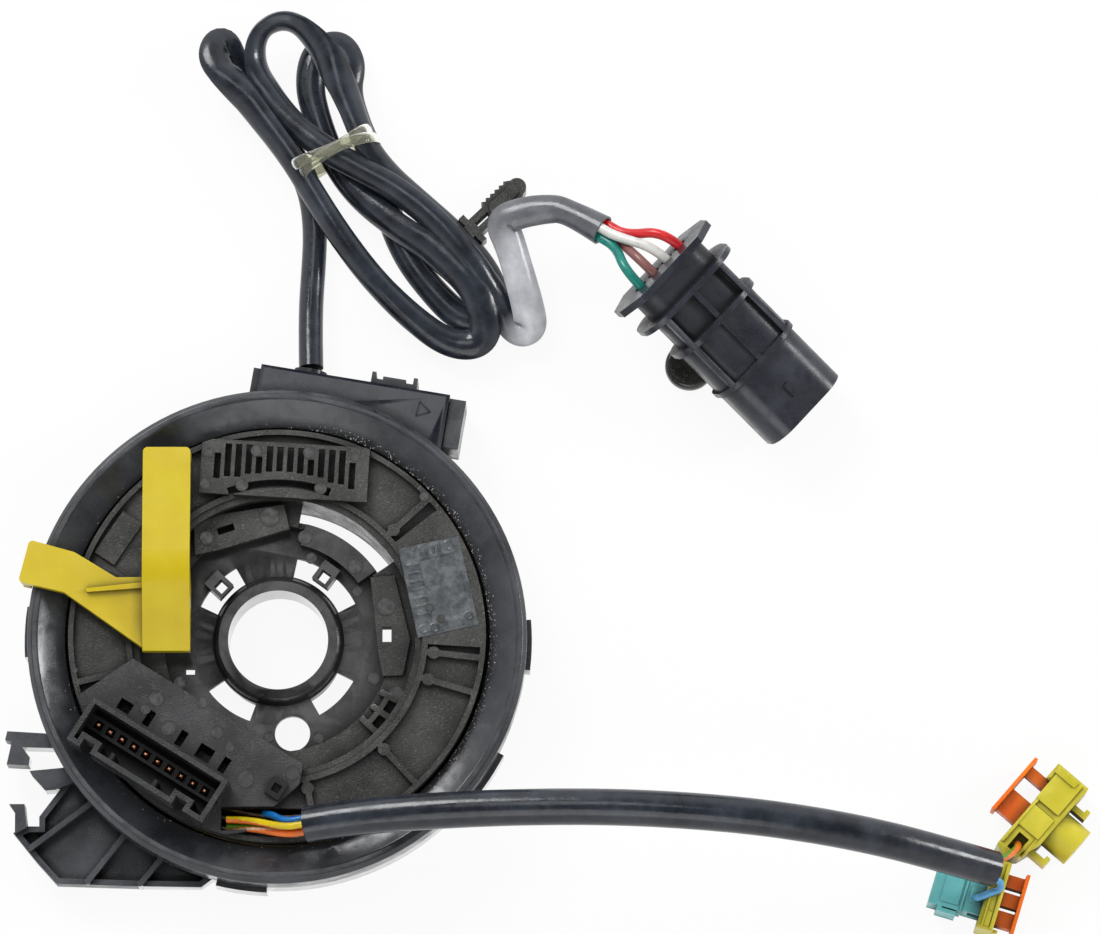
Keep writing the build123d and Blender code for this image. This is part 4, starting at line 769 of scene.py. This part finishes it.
def core(node, material, body, radius, points, stripes=()):
    """Insulated core along its route. A stripe is a material, where it starts round the core as a
    share of the whole turn, how broad it is, and how many times it winds over the core's length."""
    line = route(points)
    sides = 24
    size = np.full(len(line), radius * MM)
    piece = make_piece(node + "_core", [sleeve_rings(line, size, size, sides)], material, body)
    i, j = np.meshgrid(np.arange(len(line) - 1), np.arange(sides), indexing="ij")
    index = np.zeros(i.shape, int)
    for number, (colour, start, broad, winds) in enumerate(stripes, 1):
        piece.data.materials.append(colour)
        round_share = (j / sides + winds * i / len(line) - start) % 1
        index[round_share < broad] = number
    full = np.zeros(len(piece.data.polygons), int)
    full[: index.size] = index.ravel()
    piece.data.polygons.foreach_set("material_index", full)
    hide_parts(node)


red = skin("red skin", (0.72, 0.008, 0.014))
white = skin("white skin", (0.78, 0.78, 0.75))
brown = skin("brown skin", (0.30, 0.12, 0.11))
green = skin("green skin", (0.0, 0.25, 0.2))
blue = skin("blue skin", (0.01, 0.2, 0.62))
yellow = skin("yellow skin", (0.85, 0.62, 0.0))
orange = skin("orange skin", (0.9, 0.19, 0.02))
leaf = skin("leaf green skin", (0.11, 0.30, 0.01))
cream = skin("cream skin", (0.85, 0.68, 0.5))
sky_blue = skin("sky blue skin", (0.12, 0.42, 0.75))

lead_core_r = 1.05
core("wire_red", red, "stator", lead_core_r, [
    (64.4, 91.5, 14.2), (69.1, 88.3, 16.0), (73.1, 85.6, 17.4), (81.3, 85.5, 22.3), (85.5, 81.6, 20.4),
])
core("wire_white", white, "stator", lead_core_r, [
    (63.2, 90.4, 15.8), (67.8, 87.2, 17.5), (71.0, 85.1, 18.6), (79.3, 81.9, 22.0), (82.8, 78.7, 20.4),
])
core("wire_brown", brown, "stator", lead_core_r, [
    (63.9, 89.9, 12.8), (68.6, 86.8, 14.5), (72.1, 84.4, 15.6), (76.1, 79.3, 22.2), (80.0, 75.7, 20.4),
])
core("wire_green", green, "stator", lead_core_r, [
    (62.6, 88.8, 14.2), (67.3, 85.7, 16.0), (71.1, 83.1, 17.3), (72.9, 76.9, 22.5), (77.3, 72.8, 20.4),
])

airbag_core_r = 0.75
core("wire_blue", blue, "rotor", airbag_core_r, [
    (-2.4, -37.6, 16.9), (-1.3, -37.6, 18.0), (2.1, -40.0, 23.0), (6.4, -39.4, 24.0), (10.8, -38.8, 25.2),
])
core("wire_yellow", yellow, "rotor", airbag_core_r, [
    (-10.2, -39.0, 18.3), (-5.6, -39.0, 18.6), (2.0, -41.4, 24.4), (6.3, -40.8, 25.4), (10.6, -40.2, 26.4),
], [(orange, 0.2, 0.3, -0.5)])
core("wire_orange", orange, "rotor", airbag_core_r, [
    (-10.2, -40.4, 16.9), (-5.6, -40.4, 17.2), (2.5, -42.8, 23.0), (6.8, -42.2, 24.0), (11.1, -41.6, 25.2),
], [(leaf, 0.1, 0.22, 0.8), (cream, 0.36, 0.1, 0.8)])
core("wire_striped", orange, "rotor", airbag_core_r, [
    (-8.0, -39.0, 15.5), (-4.4, -39.0, 16.0), (2.6, -41.4, 21.7), (6.9, -40.8, 22.6), (11.2, -40.2, 23.6),
], [(leaf, 0.3, 0.25, 0.9)])
core("wire_signal", orange, "rotor", airbag_core_r, [
    (146.5, -46.9, 19.6), (149.8, -47.4, 18.2), (151.8, -46.8, 17.0), (153.8, -45.2, 14.6),
    (155.0, -43.6, 11.8), (154.9, -42.9, 9.0),
], [(leaf, 0.15, 0.25, 0.4)])
core("wire_ground", sky_blue, "rotor", airbag_core_r, [
    (145.6, -50.2, 17.6), (149.0, -50.8, 16.2), (151.0, -51.6, 15.2), (151.0, -53.0, 13.4),
    (148.9, -53.6, 12.8), (147.0, -54.4, 12.4), (146.0, -54.4, 10.6), (146.0, -54.0, 7.4),
])

# ---------------------------------------------------------------------
# Airbag sleeve. Thick round vinyl tube, cut square at both ends and
# slipped over the cores from the rotor's slot to the airbag plugs.
# ---------------------------------------------------------------------
airbag_points = [
    (6.6, -40.8, 24.0), (15.0, -39.6, 25.9), (30.0, -38.8, 29.6), (51.0, -38.2, 32.4),
    (72.0, -38.4, 34.0), (93.0, -39.7, 34.0), (110.0, -41.6, 32.0), (125.0, -44.0, 28.4),
    (138.0, -46.7, 23.2), (149.4, -49.2, 17.5),
]
airbag_line = route(airbag_points)
sleeve_r = 3.8
full_round = np.full(len(airbag_line), MM * sleeve_r)
airbag_rings = open_sleeve(airbag_line, full_round, full_round, wall=0.6 * MM, deep=6, both=True)
airbag_sleeve = make_piece("airbag_sleeve", [airbag_rings], sheath, "rotor")
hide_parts("airbag_lead")

# ---------------------------------------------------------------------
# Airbag plugs. Lemon yellow bodies of unfilled plastic with orange
# push-in locks, and the pale teal horn plug carried on the lower one.
# ---------------------------------------------------------------------


def clear_moulding(name, dark, light, rough):
    """Unfilled plastic that light gets into a little."""
    material = moulding(name, dark, light, rough, rough + 0.14, cells=6500.0, depth=0.00002, strength=0.25)
    surface = material.node_tree.nodes["Principled BSDF"]
    surface.inputs["Subsurface Weight"].default_value = 0.25
    surface.inputs["Subsurface Radius"].default_value = (1.0, 0.8, 0.3)
    surface.inputs["Subsurface Scale"].default_value = 0.0012
    return material


lemon = clear_moulding("lemon yellow", (0.56, 0.48, 0.012), (0.68, 0.60, 0.05), 0.34)
lock_orange = clear_moulding("lock orange", (0.95, 0.15, 0.0), (1.0, 0.23, 0.004), 0.34)
teal = clear_moulding("horn plug teal", (0.11, 0.44, 0.45), (0.19, 0.58, 0.59), 0.34)
airbag_plugs = [
    moulded("squib_plug_upper", lemon, round_mm=0.25),
    moulded("squib_plug_lower", lemon, round_mm=0.2),
    moulded("squib_lock_upper", lock_orange, round_mm=0.12),
    moulded("squib_lock_lower", lock_orange, round_mm=0.12),
    moulded("horn_plug", teal, round_mm=0.25),
]


def plug_steps(name, material, middle, turn, blocks, corner, foot, top, lip):
    """Low steps on a plug that stands turned about its middle. Each block is its place along and across
    the plug, its length, its depth and how far it rises past the top."""
    angle = math.radians(turn)
    way = np.array([math.cos(angle), math.sin(angle)])
    out = np.array([-way[1], way[0]])
    rings = [
        pad(*(middle + p * way + q * out), turn, long, deep, corner, foot, top + rise, lip)
        for p, q, long, deep, rise in blocks
    ]
    make_piece(name, rings, material, "rotor")


upper_middle, upper_turn = (159.8, -37.6), 49.0
upper_blocks = [
    (6.6, 0.6, 8.2, 6.0, 0.6), (-1.4, 0.2, 5.4, 5.4, 0.4), (-2.6, 3.0, 13.0, 0.6, 0.5),
    (-6.6, -2.3, 5.0, 0.5, 0.35), (9.9, 1.4, 1.6, 5.4, 0.9),
]
plug_steps(
    "upper_plug_steps", lemon, upper_middle, upper_turn, upper_blocks,
    corner=0.3, foot=10.6, top=11.0, lip=0.16,
)
lower_middle, lower_turn = (149.8, -53.9), 73.0
lower_blocks = [(0.0, 0.75, 14.0, 0.5, 0.3), (0.0, -1.1, 14.4, 0.5, 0.3), (-5.2, -0.1, 3.2, 1.2, 0.2)]
plug_steps(
    "lower_plug_steps", lemon, lower_middle, lower_turn, lower_blocks,
    corner=0.15, foot=11.9, top=12.2, lip=0.1,
)
horn_blocks = [(-0.6, 5.9, 8.6, 0.5, 0.3), (-0.6, 8.6, 7.0, 4.0, 0.15), (-0.9, 3.5, 3.4, 2.8, 0.15)]
plug_steps(
    "horn_plug_steps", teal, lower_middle, lower_turn, horn_blocks,
    corner=0.2, foot=9.2, top=9.4, lip=0.1,
)

# ---------------------------------------------------------------------
# Table and studio. A plain white sheet under the part, a light tent that
# is white round its sides, four soft lamps, and the camera.
# ---------------------------------------------------------------------


def background_rays(tree):
    """Whether a ray is glossy, and whether it is one that shows the background: seen by the camera, in
    a gloss, or through clear plastic."""
    rays = tree.nodes.new("ShaderNodeLightPath")
    total = rays.outputs["Is Camera Ray"]
    for kind in ("Is Glossy Ray", "Is Transmission Ray"):
        either = tree.nodes.new("ShaderNodeMath")
        link(tree, total, either.inputs[0])
        link(tree, rays.outputs[kind], either.inputs[1])
        total = either.outputs[0]
    return rays.outputs["Is Glossy Ray"], total


floor_half = 3.0
floor_drop = 0.0003
floor_mesh = bpy.data.meshes.new("floor")
floor_corners = [(x * floor_half, y * floor_half, 0) for x, y in ((-1, -1), (1, -1), (1, 1), (-1, 1))]
floor_mesh.from_pydata(floor_corners, [], [(0, 1, 2, 3)])
floor = bpy.data.objects.new("floor", floor_mesh)
bpy.context.scene.collection.objects.link(floor)
floor.location.z = -floor_drop
paper, tree, surface, place = shader("white table", (0.9, 0.9, 0.9), 0.9)
glow = tree.nodes.new("ShaderNodeEmission")
glow_share = tree.nodes.new("ShaderNodeMath")
glow_share.operation = "MULTIPLY"
glow_share.use_clamp = True
glow_share.inputs[1].default_value = 0.92
link(tree, background_rays(tree)[1], glow_share.inputs[0])
lit_paper = tree.nodes.new("ShaderNodeMixShader")
link(tree, glow_share.outputs[0], lit_paper.inputs[0])
link(tree, surface.outputs[0], lit_paper.inputs[1])
link(tree, glow.outputs[0], lit_paper.inputs[2])
link(tree, lit_paper.outputs[0], tree.nodes["Material Output"].inputs["Surface"])
floor_mesh.materials.append(paper)

world = bpy.data.worlds.new("studio")
bpy.context.scene.world = world
world.use_nodes = True
tree = world.node_tree
sky = tree.nodes["Background"]
sky.inputs["Color"].default_value = (1, 1, 1, 1)
glossy, shown = background_rays(tree)
# glossy surfaces see the tent white round its sides and dim in its roof
heading = tree.nodes.new("ShaderNodeSeparateXYZ")
link(tree, tree.nodes.new("ShaderNodeTexCoord").outputs["Generated"], heading.inputs[0])
tent = spread(tree, heading.outputs["Z"], 0.45, 0.88, 1.0, 0.14)
sky_light = 0.42
white_or_tent = mixed(tree, glossy, 1.0, tent, "FLOAT")
link(tree, mixed(tree, shown, sky_light, white_or_tent, "FLOAT"), sky.inputs["Strength"])


def soft_lamp(name, place, aim, size, power):
    """Square area lamp at a place, turned to face a point: yawed to its heading, then pitched down."""
    lamp = bpy.data.lights.new(name, "AREA")
    lamp.size = size
    lamp.energy = power
    holder = bpy.data.objects.new(name, lamp)
    bpy.context.scene.collection.objects.link(holder)
    holder.location = place
    way = np.array(aim) - np.array(place)
    yaw = math.atan2(-way[0], way[1])
    pitch = math.acos(-way[2] / np.linalg.norm(way))
    holder.rotation_euler = (pitch, 0, yaw)


part_middle = (0.0571, 0.0357, 0.018)
soft_lamp("key lamp", (-0.45, 0.8, 0.8), part_middle, size=0.5, power=8.0)
soft_lamp("side lamp", (0.95, 0.2, 0.5), part_middle, size=0.3, power=4.0)
soft_lamp("front lamp", (-0.1, -0.9, 0.95), part_middle, size=0.8, power=3.5)
soft_lamp("overhead lamp", (-0.12, 0.36, 1.3), part_middle, size=0.45, power=1.4)

camera_data = bpy.data.cameras.new("camera")
camera = bpy.data.objects.new("camera", camera_data)
bpy.context.scene.collection.objects.link(camera)
bpy.context.scene.camera = camera
away = 1.5
field_wide = 0.231
elevation = math.radians(79.5)
camera_data.sensor_width = 36
camera_data.lens = camera_data.sensor_width * away / field_wide
camera_data.clip_end = 20
camera.location = (
    part_middle[0],
    part_middle[1] - away * math.cos(elevation),
    part_middle[2] + away * math.sin(elevation),
)
camera.rotation_euler = (math.pi / 2 - elevation, 0, 0)
bpy.context.scene.view_settings.view_transform = "Standard"
